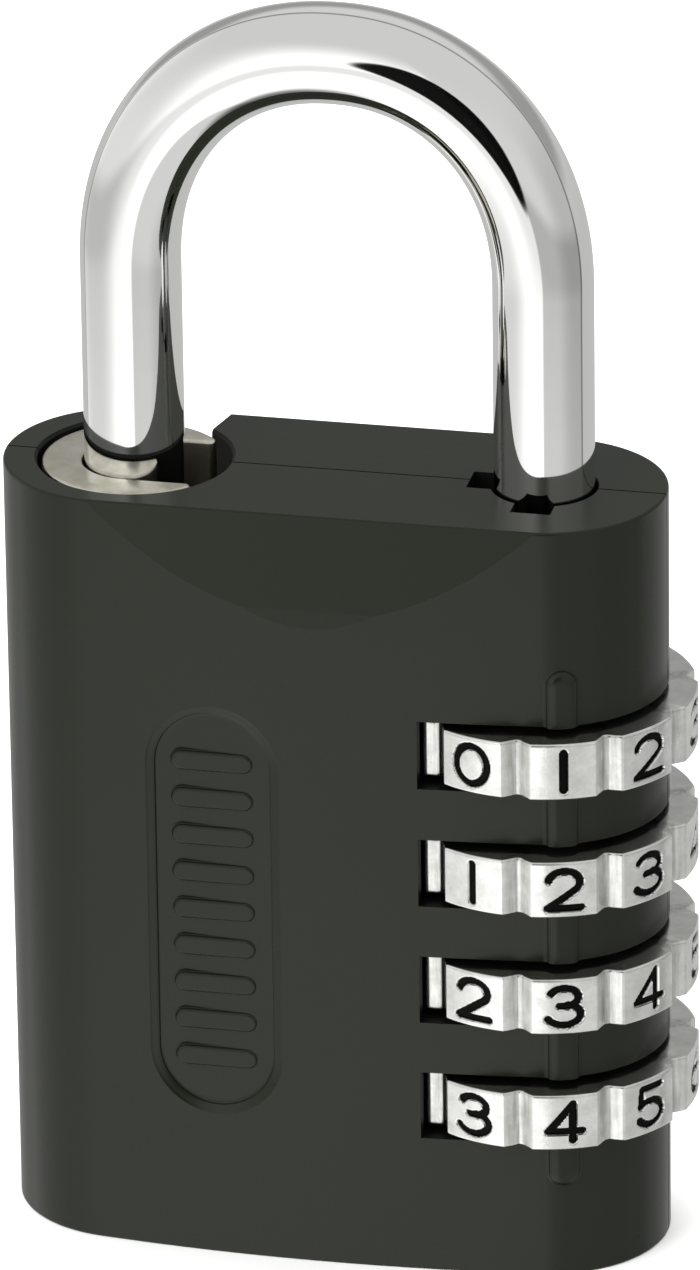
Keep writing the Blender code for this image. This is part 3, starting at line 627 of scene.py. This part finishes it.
# hollows that both shells share: seats, bores, windows and notches, each a little larger than what it holds
def cavityParts():
    size = hollowSize
    fit, top = size["fit"], deckZ + 4
    (camLeft, _, camLow), (camRight, _, _) = boxOf("toe_cam")
    seatRadius, flare = (camRight - camLeft) / 2 + fit, size["seatFlare"]
    housingLow, housingHigh = boxOf("cylinder_housing")
    housingRadius, under = toeX - housingLow[0] + fit, size["cylinderFlare"]
    chamber = boxOf("reset_washer")[1][1] + fit
    chamberTop = lugLow[0] + liftTravel + innerSize["lugHeight"] + size["chamberRoom"]
    heelRadius, mouth = barRadius + size["heelFit"], size["heelFlare"]
    half = size["notchWidth"] / 2
    stopLow, stopHigh = boxOf("shackle_stop_pin")
    steps = [
        turnedPart([(seatRadius, camLow - fit), (seatRadius, deckZ - flare),
                    (seatRadius + 2 * flare, deckZ + flare), (seatRadius + 2 * flare, top)], toeX, count=160),
        turnedPart([(size["driverBore"], housingHigh[2]), (size["driverBore"], camLow)], toeX, count=48),
        turnedPart([(housingRadius + 2 * under, -2), (housingRadius + 2 * under, -under),
                    (housingRadius, under), (housingRadius, housingHigh[2] + 2)], toeX),
        prismPart(boxOutline(toeX, housingHigh[0] + fit, -size["columnHalf"], size["columnHalf"]),
                  size["columnLow"], housingHigh[2] + fit),
        turnedPart([(chamber, size["chamberLow"]), (chamber, chamberTop)], heelX, count=128),
        turnedPart([(heelRadius, size["heelLow"]), (heelRadius, deckZ - mouth),
                    (heelRadius + 2 * mouth, deckZ + mouth), (heelRadius + 2 * mouth, top)], heelX, count=128),
        turnedPart([(lugEnd + size["finRoom"], finLow - size["finBelow"]),
                    (lugEnd + size["finRoom"], deckZ - size["topPlate"])], heelX),
        prismPart(boxOutline(heelX - lugEnd - size["sideNotch"], heelX, -half, half), finLow, top),
        prismPart(boxOutline(heelX - half, heelX + half, -lugEnd - size["frontNotch"], 0), finLow, top),
        crossBore(size["stopBore"], size["stopHalf"], (stopLow[0] + stopHigh[0]) / 2,
                  (stopLow[2] + stopHigh[2]) / 2),
    ]
    for k in (1, 2, 3, 4):
        low, high = boxOf(f"shell_pin_{k}")
        steps.append(crossBore((high[0] - low[0]) / 2 + size["dowelFit"], high[1] + fit,
                               (low[0] + high[0]) / 2, (low[2] + high[2]) / 2))
    window, inset, pocket = (shellSize[key] for key in ("windowHeight", "windowInset", "pocketRadius"))
    for z in dialZ:
        low, high = z - window / 2, z + window / 2
        steps.append(prismPart(boxOutline(heelX - inset, heelX + 20, -20, 20), low, high))
        steps.append(turnedPart([(pocket, low), (pocket, high)], heelX, count=192))
    return [("DIFFERENCE", part) for part in steps]


# opening behind the toe: its heel side slants away because the toe leaves on an arc round the heel
def swingGap():
    half, slant = hollowSize["gapHalf"], hollowSize["gapSlant"]
    outline = [(toeX - half, 0), (toeX + half, 0)] + [(toeX + half + over, y) for over, y in slant]
    outline.append((toeX - half, slant[-1][1]))
    return ("DIFFERENCE", prismPart(outline, camFloor, deckZ + 4))


def clickBores():
    size = hollowSize
    aim = Matrix.Rotation(math.radians(size["clickAngle"]), 4, "Z") @ Matrix.Rotation(math.pi / 2, 4, "Y")
    bore = turnedPart([(size["clickBore"], size["clickFrom"]), (size["clickBore"], size["clickTo"])], count=24)
    return [("DIFFERENCE", movedPart(bore, Matrix.Translation((heelX, 0, z)) @ aim)) for z in dialZ]


# rounds the rims that the cutters left in the outer skin; the new narrow faces are lacquered
def softenRims(shell):
    bm = bmesh.new()
    bm.from_mesh(shell.data)
    rims = []
    for edge in bm.edges:
        faces = edge.link_faces
        if len(faces) == 2 and faces[0].material_index != faces[1].material_index:
            if edge.calc_face_angle(0.0) > math.radians(40):
                rims.append(edge)
    rounded = set(bmesh.ops.bevel(bm, geom=rims, offset=shellSize["rimBevel"] * mm, segments=2, profile=0.5,
                                  affect="EDGES", clamp_overlap=True, material=0)["faces"])
    for face in bm.faces:
        face.smooth = True
    for edge in bm.edges:
        if len(edge.link_faces) == 2:
            border = (edge.link_faces[0] in rounded) != (edge.link_faces[1] in rounded)
            if border or edge.calc_face_angle(0.0) > math.radians(30):
                edge.smooth = False
    bm.to_mesh(shell.data)
    bm.free()


def makeShells():
    size = shellSize
    wide, seam = bodyWidth, size["seam"] / 2
    front = bodyBlock("frontShell")
    carve(front, [("UNION", indexPart()),
                  ("DIFFERENCE", prismPart(boxOutline(-wide, wide, -seam, wide), -5, deckZ + 5))]
          + cavityParts() + [("SKIN", fieldPart())]
          + [("UNION", ribPart(row)) for row in range(size["ribCount"])])
    rear = bodyBlock("rearShell")
    carve(rear, [("DIFFERENCE", prismPart(boxOutline(-wide, wide, -wide, seam), -5, deckZ + 5))]
          + cavityParts() + [swingGap()] + clickBores())
    for shell, node in ((front, "front_shell"), (rear, "rear_shell")):
        softenRims(shell)
        even = shell.modifiers.new("evenShading", "WEIGHTED_NORMAL")
        even.keep_sharp = True
        even.weight = 60
        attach(shell, "body")
        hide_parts(node)
    print("shells made:", len(front.data.polygons), len(rear.data.polygons), "faces")


makeShells()


shackleSize = {
    "shoulder": 13.7,         # straight legs over the deck
    "power": 2.12,            # of the bow's superellipse
    "footEdge": 0.6,
    "neckDepth": 0.95,
    "neckRoom": 0.3,          # round the stop pin at both ends of the lift
    "boreShare": 0.65,        # of the bar's radius, for the spring
    "boreDepth": 12.0,
    "lugWidth": 2.1,
    "lugRoot": 2.4,           # from the heel's axis, inside the bar
    "lugEdge": 0.18,
}


# centre line and radius along the bar: straight toe leg, superellipse bow, heel leg with a turned neck
def shackleStations():
    size = shackleSize
    middle, half = (toeX + heelX) / 2, (heelX - toeX) / 2
    shoulder = deckZ + size["shoulder"]
    rise = shackleTop - barRadius - shoulder
    toeFoot = deckZ - innerSize["toeDepth"]
    heelFoot = boxOf("shackle")[0][2]
    foot = quarterRoll(size["footEdge"], 7)
    toe = [(toeX, toeFoot + z, barRadius - inset) for z, inset in foot]
    toe += [(toeX, z, barRadius) for z in np.linspace(toeFoot + 1, shoulder - 0.4, 24)]
    turn = np.linspace(0, math.pi, 321)
    c, s = np.cos(turn), np.sin(turn)
    power = 2 / size["power"]
    bow = np.column_stack([middle - half * np.sign(c) * np.abs(c) ** power,
                           shoulder + rise * np.abs(s) ** power, np.full(len(turn), barRadius)])
    stopLow, stopHigh = boxOf("shackle_stop_pin")
    neckTop, neckLow = stopHigh[2] + size["neckRoom"], stopLow[2] - liftTravel - size["neckRoom"]
    neck = barRadius - size["neckDepth"]
    heel = [(heelX, z, barRadius) for z in np.linspace(shoulder - 0.4, neckTop + 0.1, 24)]
    heel += [(heelX, neckTop, barRadius), (heelX, neckTop - 0.05, neck), (heelX, neckLow + 0.05, neck),
             (heelX, neckLow, barRadius), (heelX, heelFoot + size["footEdge"] + 0.5, barRadius)]
    heel += [(heelX, heelFoot + z, barRadius - inset) for z, inset in foot[::-1]]
    bore = size["boreShare"] * barRadius
    heel += [(heelX, heelFoot, bore), (heelX, heelFoot + size["boreDepth"], bore)]
    return np.concatenate([np.array(toe), bow, np.array(heel)]), len(toe), len(toe) + len(bow)


def makeShackle():
    stations, bowStart, bowEnd = shackleStations()
    centre = np.column_stack([stations[:, 0], np.zeros(len(stations)), stations[:, 1]])
    direction = np.zeros((len(stations), 3))
    direction[:bowStart, 2] = 1
    direction[bowEnd:, 2] = -1
    tangent = np.gradient(centre[bowStart:bowEnd], axis=0)
    direction[bowStart:bowEnd] = tangent / np.linalg.norm(tangent, axis=1)[:, None]
    direction[bowStart], direction[bowEnd - 1] = (0, 0, 1), (0, 0, -1)
    across = np.column_stack([direction[:, 2], np.zeros(len(stations)), -direction[:, 0]])
    angle = np.linspace(0, 2 * math.pi, 112, endpoint=False)
    circle = np.cos(angle)[:, None] * across[:, None] + np.sin(angle)[:, None] * np.array([0, 1, 0])
    points = centre[:, None] + stations[:, 2][:, None, None] * circle
    shackle = makeObject("shackleBar", [gridPart(points, caps=True)], chrome)
    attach(shackle, "shackle")
    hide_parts("shackle")
    size = shackleSize
    half, root = size["lugWidth"] / 2, heelX - size["lugRoot"]
    heights = [(low, innerSize["lugHeight"]) for low in lugLow] + [(finLow, innerSize["finHeight"])]
    boxes = [roundedBox((heelX - lugEnd, -half, low), (root, half, low + tall), size["lugEdge"])
             for low, tall in heights]
    lugs = makeObject("heelLugs", boxes, chrome)
    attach(lugs, "shackle")


# box whose upright edges and rims are rounded: rounded-rectangle rings stacked through two quarter rolls
def roundedBox(low, high, radius):
    (x0, y0, z0), (x1, y1, z1) = low, high
    roll = quarterRoll(radius, 5)
    levels = [(z0 + rise, radius - inset) for rise, inset in roll]
    levels += [(z1 - rise, radius - inset) for rise, inset in roll[::-1]]
    centres = ((x1 - radius, y1 - radius), (x0 + radius, y1 - radius), (x0 + radius, y0 + radius),
               (x1 - radius, y0 + radius))
    rings = []
    for z, grow in levels:
        ring = []
        for quarter, (x, y) in enumerate(centres):
            for a in np.linspace(0, math.pi / 2, 5) + quarter * math.pi / 2:
                ring.append((x + grow * math.cos(a), y + grow * math.sin(a), z))
        rings.append(ring)
    return gridPart(np.array(rings), caps=True)


makeShackle()
print("shackle made")


dialSize = {
    "radius": 9.8,
    "height": 3.9,
    "faces": 10,
    "indexAngle": 18.0,
    "grooveDepth": 0.65,
    "grooveHalf": 5.6,        # degrees
    "grooveFloor": 0.9,       # degrees, half width of the flat at the bottom
    "edge": 0.16,
    "bore": 5.9,
    "notch": 6.6,
    "notchHalf": 1.05,
    "toothHeight": 1.0,
    "digitHalfWidth": 1.14,   # of the stroke's centre line
    "digitHalfHeight": 1.3,
    "stroke": 0.245,          # half width of the engraved line
    "engraved": 0.22,
    "digitColumns": 44,       # grid across and up a numeral
    "digitRows": 54,
}


def line(x0, y0, x1, y1):
    return np.array([(x0, y0), (x1, y1)], float)


# elliptical arc from one angle to another, in degrees
def arc(x, y, rx, ry, start, end):
    angle = np.radians(np.linspace(start, end, 28))
    return np.column_stack([x + rx * np.cos(angle), y + ry * np.sin(angle)])


# each numeral as the path of a round-nosed engraving cutter, on a square from -1 to 1
def digitPaths(digit):
    return {
        0: [arc(0, 0, 0.98, 1, 0, 360)],
        1: [line(0, -1, 0, 1)],
        2: [arc(0, 0.4, 0.9, 0.6, 170, -38), line(0.71, 0.03, -0.95, -1), line(-0.95, -1, 0.98, -1)],
        3: [arc(-0.05, 0.5, 0.82, 0.5, 155, -75), line(-0.3, 0.04, 0.2, 0.02),
            arc(-0.08, -0.44, 0.98, 0.56, 75, -155)],
        4: [line(0.42, -1, 0.42, 1), line(0.42, 1, -1, -0.5), line(-1, -0.5, 0.95, -0.5)],
        5: [line(0.8, 1, -0.62, 1), line(-0.62, 1, -0.72, 0.1), arc(-0.02, -0.36, 0.9, 0.64, 140, -152)],
        6: [arc(0, -0.4, 0.88, 0.6, 0, 360), arc(0.75, -0.4, 1.63, 1.4, 102, 180)],
        7: [line(-0.9, 1, 0.9, 1), line(0.9, 1, -0.3, -1)],
        8: [arc(0, 0.5, 0.74, 0.5, 0, 360), arc(0, -0.45, 0.92, 0.55, 0, 360)],
        9: [arc(0, 0.4, 0.88, 0.6, 0, 360), arc(-0.75, 0.4, 1.63, 1.4, 282, 360)],
    }[digit]


# distance from each point to the nearest piece of the numeral's path
def digitDistance(u, v, digit):
    size = dialSize
    best = np.full(np.shape(u), 1e9)
    scale = np.array([size["digitHalfWidth"], size["digitHalfHeight"]])
    for path in digitPaths(digit):
        path = path * scale
        for start, end in zip(path, path[1:]):
            run = end - start
            along = ((u - start[0]) * run[0] + (v - start[1]) * run[1]) / (run @ run)
            along = np.clip(along, 0, 1)
            best = np.minimum(best, np.hypot(u - start[0] - along * run[0], v - start[1] - along * run[1]))
    return best


# outer radius round the dial: plain arcs with a straight-sided groove halfway between two numerals
def dialRadius(angle):
    size = dialSize
    step = 360 / size["faces"]
    offGroove = np.abs((np.degrees(angle) + 90 - size["indexAngle"] + step) % step - step / 2)
    slope = (size["grooveHalf"] - offGroove) / (size["grooveHalf"] - size["grooveFloor"])
    return size["radius"] - size["grooveDepth"] * np.clip(slope, 0, 1)


# angles of the grid columns: close together across each numeral, few in the grooves between them
def dialAngles():
    size = dialSize
    step = 360 / size["faces"]
    face = step / 2 - size["grooveHalf"]
    numeral = np.degrees((size["digitHalfWidth"] + size["stroke"] + 0.1) / size["radius"])
    low, high = size["grooveFloor"], size["grooveHalf"]
    half = np.concatenate([
        np.linspace(-step / 2, -step / 2 + low, 2), np.linspace(-step / 2 + low, -step / 2 + high, 5)[1:],
        [-face + 0.35], np.linspace(-face + 0.7, -numeral - 0.2, 5)])
    columns = np.concatenate([half, np.linspace(-numeral, numeral, size["digitColumns"]), -half[::-1][:-1]])
    centres = -90 + size["indexAngle"] + step * np.arange(size["faces"])
    return np.radians((centres[:, None] + columns[None, :]).ravel())


# inner radius of the toothed flange: ten notches, one for each code
def toothRadius(angle):
    size = dialSize
    step = 360 / size["faces"]
    off = np.abs((np.degrees(angle) + step / 2) % step - step / 2)
    half = math.degrees(size["notchHalf"] / size["notch"])
    return np.where(off < half, size["notch"], size["bore"])


# one turned ring, closed from its inner flange round the outer face, with the numerals sunk into that face
def makeDial(k):
    size = dialSize
    angle = dialAngles()
    outer, tooth = dialRadius(angle), toothRadius(angle)
    half, edge, wide = size["height"] / 2, size["edge"], size["notch"] + 0.1
    roll = quarterRoll(edge, 5)
    numeral = size["digitHalfHeight"] + size["stroke"] + 0.06
    plain = (half - edge + numeral) / 2
    rows = [(wide + 0 * outer, -half)] + [(outer - inset, -half + rise) for rise, inset in roll]
    heights = np.concatenate([[-plain], np.linspace(-numeral, numeral, size["digitRows"]), [plain]])
    rows += [(outer, z) for z in heights] + [(outer - inset, half - rise) for rise, inset in roll[::-1]]
    under = half - size["toothHeight"]
    rows += [(tooth, half), (tooth, under), (wide + 0 * outer, under)]
    radius = np.array([r for r, z in rows])
    height = np.array([z for r, z in rows])[:, None] + 0 * radius
    paint = np.zeros_like(radius)
    step = math.radians(360 / size["faces"])
    first = len(roll) + 2   # rows below the numerals
    band = slice(first, first + size["digitRows"])
    perFace = len(angle) // size["faces"]
    for j in range(size["faces"]):
        columns = slice(j * perFace, (j + 1) * perFace)
        centre = math.radians(-90 + size["indexAngle"]) + j * step
        u = (angle[columns] - centre)[None, :] * size["radius"]
        v = height[band, columns]
        away = digitDistance(u + 0 * v, v + 0 * u, (k + j) % 10)
        cut = np.clip((size["stroke"] - away) / 0.07 + 0.5, 0, 1)   # its walls slope over 0.07
        radius[band, columns] -= size["engraved"] * cut * cut * (3 - 2 * cut)
        paint[band, columns] = np.clip((size["stroke"] - away) / 0.08 + 0.5, 0, 1)
    points = np.stack([heelX + radius * np.cos(angle), radius * np.sin(angle), dialZ[k - 1] + height],
                      axis=-1)
    dial = makeObject(f"dialRing{k}", [gridPart(points, loop=True)], dialNickel, 50)
    hollow = np.clip((size["radius"] - outer) / size["grooveDepth"] * 1.6, 0, 1) + 0 * radius
    for name, values in (("paint", paint), ("hollow", hollow)):
        layer = dial.data.attributes.new(name, "FLOAT", "POINT")
        layer.data.foreach_set("value", values.ravel().astype(np.float32))
    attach(dial, f"dial_{k}")
    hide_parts(f"dial_{k}")


for k in (1, 2, 3, 4):
    makeDial(k)
print("dials made")


camSize = {
    "radius": 6.0,
    "slot": 0.15,             # clearance round the toe leg
    "tip": 0.42,              # rounding of the arm tips in plan
    "edge": 0.22,
    "footHeight": 2.4,        # foot with the driver's slot
    "driverSlot": (2.3, 0.9), # half length and half width
}


# plan of the cam's ring: outer circle, straight-sided slot with a round end, and round arm tips that
# touch both the slot's side and the circle
def camOutline(radius, half, tip):
    reach = math.sqrt((radius - tip) ** 2 - (half + tip) ** 2)
    lean = math.atan2(half + tip, reach)
    upper = np.linspace(-math.pi / 2, lean, 14)
    upper = np.column_stack([reach + tip * np.cos(upper), half + tip + tip * np.sin(upper)])
    outer = np.linspace(lean, 2 * math.pi - lean, 150)[1:-1]
    outer = radius * np.column_stack([np.cos(outer), np.sin(outer)])
    inner = np.linspace(-math.pi / 2, -3 * math.pi / 2, 64)
    inner = half * np.column_stack([np.cos(inner), np.sin(inner)])
    return np.concatenate([upper, outer, (upper * (1, -1))[::-1], inner])


# plate of an outline whose upper and lower edges are rolled over: rings move in along the outline's normals
def rolledPlate(outline, low, high, edge):
    ahead, behind = np.roll(outline, -1, axis=0), np.roll(outline, 1, axis=0)
    along = ahead - behind
    normal = np.column_stack([along[:, 1], -along[:, 0]]) / np.linalg.norm(along, axis=1)[:, None]
    area = np.sum(outline[:, 0] * ahead[:, 1] - outline[:, 1] * ahead[:, 0])
    normal *= np.sign(area)
    roll = quarterRoll(edge, 6)
    levels = [(low + rise, inset) for rise, inset in roll]
    levels += [(high - rise, inset) for rise, inset in roll[::-1]]
    rings = [np.column_stack([outline - inset * normal, np.full(len(outline), z)]) for z, inset in levels]
    return gridPart(np.array(rings), caps=True)


# the C-shaped ring on its round stem, and under them the foot that the driver turns
def makeCam():
    size = camSize
    low, high = (corner[2] for corner in boxOf("toe_cam"))
    ringPlan = camOutline(size["radius"], barRadius + size["slot"], size["tip"]) + (toeX, 0)
    roundPlan = circleOutline(size["radius"], toeX, 0, 140)
    split = low + size["footHeight"]
    ring = makeObject("toeCamRing", [rolledPlate(ringPlan, camFloor - 0.02, high, size["edge"]),
                                     rolledPlate(roundPlan, split, camFloor, 0.02)], camNickel, 40)
    foot = makeObject("toeCamFoot", [rolledPlate(roundPlan, low, split, 0.2)], camNickel, 40)
    length, width = size["driverSlot"]
    slot = boxOutline(toeX - length, toeX + length, -width, width)
    carve(foot, [("DIFFERENCE", prismPart(slot, low - 1, low + 5))])
    for piece in (ring, foot):
        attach(piece, "key_release")
        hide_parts("toe_cam")


makeCam()
print("cam made")


# the pieces that stay as they are in the frame get the finish of their slot
def dressNodes():
    slots = {part["node"]: part["material_slot"] for part in frame["record"]["subparts"]}
    looks = {"brass": brass, "plain_steel": steel, "spring_steel": springWire, "cam_nickel": camNickel,
             "dial_nickel": dialNickel, "shackle_chrome": chrome, "black_lacquer": lacquer}
    for name, node in frame["nodes"].items():
        node.data.materials.clear()
        node.data.materials.append(looks[slots[name]])


dressNodes()


view = {
    "azimuth": 12.558,        # degrees, from the front towards the right
    "elevation": 23.867,
    "roll": -0.782,
    "distance": 811.7,        # mm, as are the lens, the aim and the shifts
    "lens": 355.35,
    "aimZ": 30.0,
    "panX": 0.829,
    "panZ": 9.865,
}


def makeCamera():
    a, e, r = (math.radians(view[key]) for key in ("azimuth", "elevation", "roll"))
    back = Vector((math.sin(a) * math.cos(e), -math.cos(a) * math.cos(e), math.sin(e)))
    right = Vector((math.cos(a), math.sin(a), 0))
    up = back.cross(right)
    aim = Vector((bodyX, 0, view["aimZ"])) + view["panX"] * right + view["panZ"] * up
    data = bpy.data.cameras.new("camera")
    camera = bpy.data.objects.new("camera", data)
    bpy.context.scene.collection.objects.link(camera)
    tiltedRight = math.cos(r) * right + math.sin(r) * up
    tiltedUp = -math.sin(r) * right + math.cos(r) * up
    rotation = Matrix((tiltedRight, tiltedUp, back)).transposed().to_4x4()
    camera.matrix_world = Matrix.Translation((aim + back * view["distance"]) * mm) @ rotation
    data.lens = view["lens"]
    data.sensor_width = 36    # mm, on the long side of the frame
    data.clip_start, data.clip_end = 0.05, 10
    bpy.context.scene.camera = camera


studioLook = {
    "tentRadius": 420.0,      # mm
    "tentHeight": 45.0,
    "rows": 300,
    "columns": 600,
    "frontLeft": 1.35,        # radiance of the bright panel
    "frontRight": 0.72,
    "tableEdge": 0.68,        # where the paper of the table turns up
    "overhead": 0.68,
    "backdropAxis": (0.290, 0.954, -0.0735),   # right of, along and above the camera's level line of sight
    "backdropEdge": 0.402,    # cosine of the angle at which the backdrop ends
    "backdrop": 0.7,
    "backdropLow": 0.56,
    "backdropDip": 0.35,      # where it turns up from the table
    "foldWidth": 0.09,
    "foldTone": 0.4,
    "shadeTone": 0.15,        # straight down, where the lock shades the table
    "standAxis": (-0.05, -0.994, 0.096),
    "standTilt": 26.0,        # degrees from upright
    "standPlace": (-0.125, -0.03),
    "standSize": (0.27, 0.33),
    "standTone": 0.006,
}


floorLook = {
    "half": 3000,             # mm, half width of the sheet
    "color": "#fbfbfa",
    "roughness": 0.9,
}


# white paper floor: matt, with a faint tooth
def makeFloor():
    look = floorLook
    made, tree = newMaterial("paperSweep")
    place = addNode(tree, "ShaderNodeTexCoord")
    grain = addNode(tree, "ShaderNodeTexNoise", {"Scale": 900.0, "Detail": 2.0},
                    {"Vector": place.outputs["Object"]})
    bump = addNode(tree, "ShaderNodeBump", {"Strength": 0.03, "Distance": 0.2 * mm},
                   {"Height": grain.outputs["Fac"]})
    shader = addNode(tree, "ShaderNodeBsdfPrincipled",
                     {"Base Color": hexColor(look["color"]), "Roughness": look["roughness"]},
                     {"Normal": bump.outputs["Normal"]})
    finishMaterial(tree, shader)
    x, y = np.meshgrid(*[np.linspace(-look["half"], look["half"], 9)] * 2)
    points, faces = gridPart(np.stack([x, y, 0 * x], axis=-1), wrap=False)
    floor = stageObject("floor", points, faces, made)
    floor.visible_glossy = False


def stageObject(name, points, faces, material):
    mesh = bpy.data.meshes.new(name)
    mesh.from_pydata((points * mm).tolist(), [], faces)
    mesh.materials.append(material)
    made = bpy.data.objects.new(name, mesh)
    bpy.context.scene.collection.objects.link(made)
    return made


# smooth step of a value between two limits, from one level to another
def smoothStep(value, low, high, start=0.0, end=1.0):
    share = np.clip((value - low) / (high - low), 0, 1)
    return start + (end - start) * share * share * (3 - 2 * share)


# radiance of the tent along unit rays, given as right of, along and above the camera's level line of sight: a
# bright panel front left, a greyer one front right and a dimmer ceiling, then a backdrop beyond a folded dark
# edge; the shade under the lock and the dark oval of the camera stand are taken away from them
def tentRadiance(rays):
    look = studioLook

    def along(*axis):
        return rays @ (np.array(axis) / np.linalg.norm(axis))

    sideways, rise, behind = rays[..., 0], rays[..., 2], along(*look["backdropAxis"])
    edge, width = look["backdropEdge"], look["foldWidth"]
    panel = smoothStep(sideways, -0.03, 0.03, look["frontLeft"], look["frontRight"])
    panel = panel * smoothStep(sideways, -0.95, -0.5, 0.6, 1.0) * smoothStep(sideways, 0.5, 0.95, 1.0, 0.72)
    panel = panel * smoothStep(np.abs(rise + 0.2), 0.06, 0.2, look["tableEdge"], 1.0)
    ceiling = smoothStep(rise, 0.1, 0.75)
    front = panel + (look["overhead"] - panel) * ceiling
    dip = smoothStep(np.abs(rise - 0.38), 0.12, 0.34, 1.0, 0.0)
    backdrop = smoothStep(rise, -0.2, 0.6, look["backdropLow"], look["backdrop"])
    backdrop = backdrop + (look["backdropDip"] - backdrop) * dip
    level = front + (backdrop - front) * smoothStep(behind, edge - 0.004, edge + 0.004)
    fold = np.abs(behind - edge + width / 2)
    level = level * smoothStep(fold, width * 0.15, width * 0.55, look["foldTone"], 1.0)
    level = level * smoothStep(rise, -0.97, -0.86, look["shadeTone"], 1.0)
    tilt = math.radians(look["standTilt"])
    across = (along(math.cos(tilt), 0, -math.sin(tilt)) - look["standPlace"][0]) / look["standSize"][0]
    upward = (along(math.sin(tilt), 0.1, math.cos(tilt)) - look["standPlace"][1]) / look["standSize"][1]
    oval = across ** 2 + upward ** 2 + smoothStep(along(*look["standAxis"]), 0.0, 0.2, 9.0, 0.0)
    return level * smoothStep(oval, 0.9, 1.1, look["standTone"], 1.0)


# light tent round the lock, seen only in reflections: a sphere whose cloth glows by its own attribute
def makeTent():
    look = studioLook
    made, tree = newMaterial("tentCloth")
    level = addNode(tree, "ShaderNodeAttribute", {"attribute_name": "radiance"})
    glow = addNode(tree, "ShaderNodeEmission", {"Color": (1.0, 1.0, 0.99, 1)},
                   {"Strength": level.outputs["Fac"]})
    finishMaterial(tree, glow)
    made.cycles.emission_sampling = "NONE"
    rise = np.linspace(-math.pi / 2, math.pi / 2, look["rows"] + 2)[1:-1][:, None]
    angle = np.linspace(0, 2 * math.pi, look["columns"], endpoint=False)[None, :]
    rays = np.stack([np.cos(rise) * np.sin(angle), np.cos(rise) * np.cos(angle), np.sin(rise) + 0 * angle],
                    axis=-1)
    turn = Matrix.Rotation(math.radians(view["azimuth"]), 3, "Z")
    points, faces = gridPart(rays @ np.array(turn).T * look["tentRadius"], caps=True)
    tent = stageObject("lightTent", points, faces, made)
    layer = tent.data.attributes.new("radiance", "FLOAT", "POINT")
    layer.data.foreach_set("value", tentRadiance(rays).ravel().astype(np.float32))
    tent.location.z = look["tentHeight"] * mm
    tent.visible_camera = tent.visible_diffuse = tent.visible_shadow = tent.visible_transmission = False
    tent.visible_volume_scatter = False


# soft box that gives light but isn't seen in reflections
def addLight(name, place, aim, size, power):
    data = bpy.data.lights.new(name, "AREA")
    data.shape = "RECTANGLE"
    data.size, data.size_y = size[0] * mm, size[1] * mm
    data.energy = power
    light = bpy.data.objects.new(name, data)
    bpy.context.scene.collection.objects.link(light)
    light.location = Vector(place) * mm
    light.rotation_mode = "QUATERNION"
    light.rotation_quaternion = (Vector(aim) - Vector(place)).to_track_quat("-Z", "Y")
    light.visible_glossy = False


def makeLight():
    world = bpy.data.worlds.new("studio")
    bpy.context.scene.world = world
    world.use_nodes = True
    tree = world.node_tree
    tree.nodes.clear()
    background = addNode(tree, "ShaderNodeBackground", {"Color": (1, 1, 1, 1), "Strength": 1.0})
    addNode(tree, "ShaderNodeOutputWorld", None, {"Surface": background.outputs[0]})
    addLight("keySoftbox", (-420, -520, 620), (0, 0, 30), (500, 500), 5.0)
    addLight("topSoftbox", (60, 160, 760), (0, 0, 30), (700, 500), 4.0)
    scene = bpy.context.scene
    scene.view_settings.view_transform = "Standard"
    scene.view_settings.look = "None"


makeCamera()
makeFloor()
makeTent()
makeLight()

print("scene ready")
